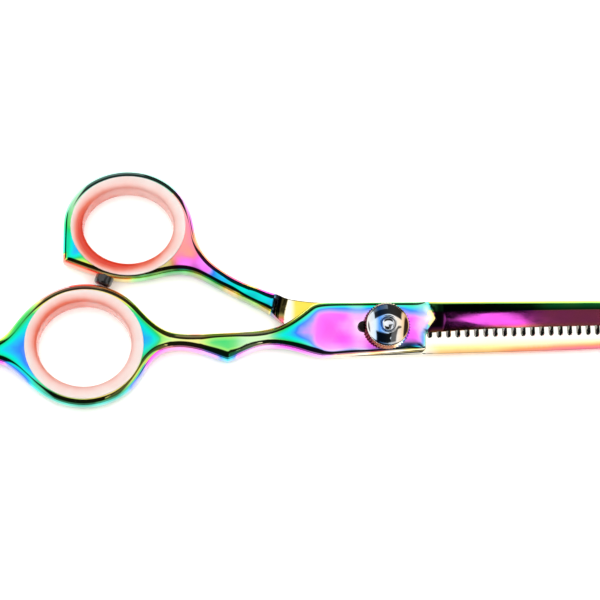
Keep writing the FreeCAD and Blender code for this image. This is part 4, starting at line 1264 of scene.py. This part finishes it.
# Light panels at the east and west ends, and dark beyond them.
behind = soft(tilt, -3.0, 0.0, 0.2, 0.0)
east_side = sky_math("ADD", sky_math("MAXIMUM", across, 0.0), behind)
west_side = sky_math("ADD", sky_math("MAXIMUM", sky_math("MULTIPLY", across, -1.0), 0.0), 0.2)
ends = soft(sky_math("MAXIMUM", east_side, west_side), 0.7, 0.78, 0.0, 1.0)
level = mix(sky, ends, level, grey(1.1))
level = mix(sky, soft(sky_math("ABSOLUTE", across), 0.84, 0.9, 0.0, 1.0), level, grey(0.05))

# The lens-shaped light that the blade's lower facet mirrors. Its width and its middle change from
# LENS_WEST to LENS_EAST, as shares of LENS_HALF_WIDTH and LENS_TILT, in degrees.
LENS_WEST = 0.213
LENS_EAST = 0.2565
LENS_HALF_WIDTH = 5.9
LENS_TILT = 40.0
LENS_WIDTH = [(LENS_WEST, 0.0), (0.218, 0.32), (0.225, 0.64), (0.236, 0.9), (0.246, 1.0), (0.251, 0.8),
              (0.2545, 0.45), (LENS_EAST, 0.0)]
LENS_MIDDLE = [(LENS_WEST, 0.94), (0.232, 0.92), (0.243, 0.9), (0.25, 0.87), (LENS_EAST, 0.8)]
width_share = bands(LENS_WIDTH, across, LENS_WEST, LENS_EAST)
middle = sky_math("MULTIPLY", bands(LENS_MIDDLE, across, LENS_WEST, LENS_EAST), LENS_TILT)
outside = sky_math("SUBTRACT", sky_math("ABSOLUTE", sky_math("ADD", tilt, middle)),
                   sky_math("MULTIPLY", width_share, LENS_HALF_WIDTH))
patch = sky_math("MULTIPLY", soft(outside, -0.2, 0.3, 1.1, 0.0), soft(width_share, 0.02, 0.1, 0.0, 1.0))
level = mix(sky, 1.0, level, patch, "ADD")

# The camera sees a plain pale background in place of the bands.
seen = new_node(sky, "LightPath").outputs["Is Camera Ray"]
back = new_node(sky, "Background", {"Color": mix(sky, seen, level, grey(0.93))})
new_node(sky, "OutputWorld", {"Surface": back.outputs["Background"]})


def overhead(name, energy):
    """Large soft lamp above the table that mirror surfaces don't show."""
    data = bpy.data.lights.new(name, "AREA")
    data.shape = "SQUARE"
    data.size = 1.4
    data.energy = energy
    lamp = bpy.data.objects.new(name, data)
    scene.collection.objects.link(lamp)
    lamp.location = (0.0, 0.1, 1.1)
    lamp.visible_glossy = False
    lamp.visible_camera = False
    return lamp


overhead("overhead", 12.0)
table_lamp = overhead("table_lamp", 14.0)
table_only = bpy.data.collections.new("table_only")
table_only.objects.link(floor)
table_lamp.light_linking.receiver_collection = table_only

scene.view_settings.view_transform = "Standard"

DISTANCE = 0.33
camera_data = bpy.data.cameras.new("camera")
camera_data.lens = 95.04
camera_data.sensor_width = 36.0
camera_data.clip_start = 0.01
camera = bpy.data.objects.new("camera", camera_data)
scene.collection.objects.link(camera)
target = Vector((-0.0176, 0.0062, 0.003))
direction = Vector((-0.09, -0.21, 1.0)).normalized()
camera.location = target + direction * DISTANCE
right = (Vector((1, 0, 0)) - direction * direction.x).normalized()
up = direction.cross(right)
camera.rotation_mode = "QUATERNION"
camera.rotation_quaternion = Matrix((right, up, direction)).transposed().to_quaternion()
scene.camera = camera


def plain_box(box):
    if isinstance(box, dict):
        return {key: plain_box(value) for key, value in box.items()}
    try:
        return [plain_box(value) for value in box]
    except TypeError:
        return float(box)


{"cad": plain_box(cad_box), "visual": plain_box(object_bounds())}
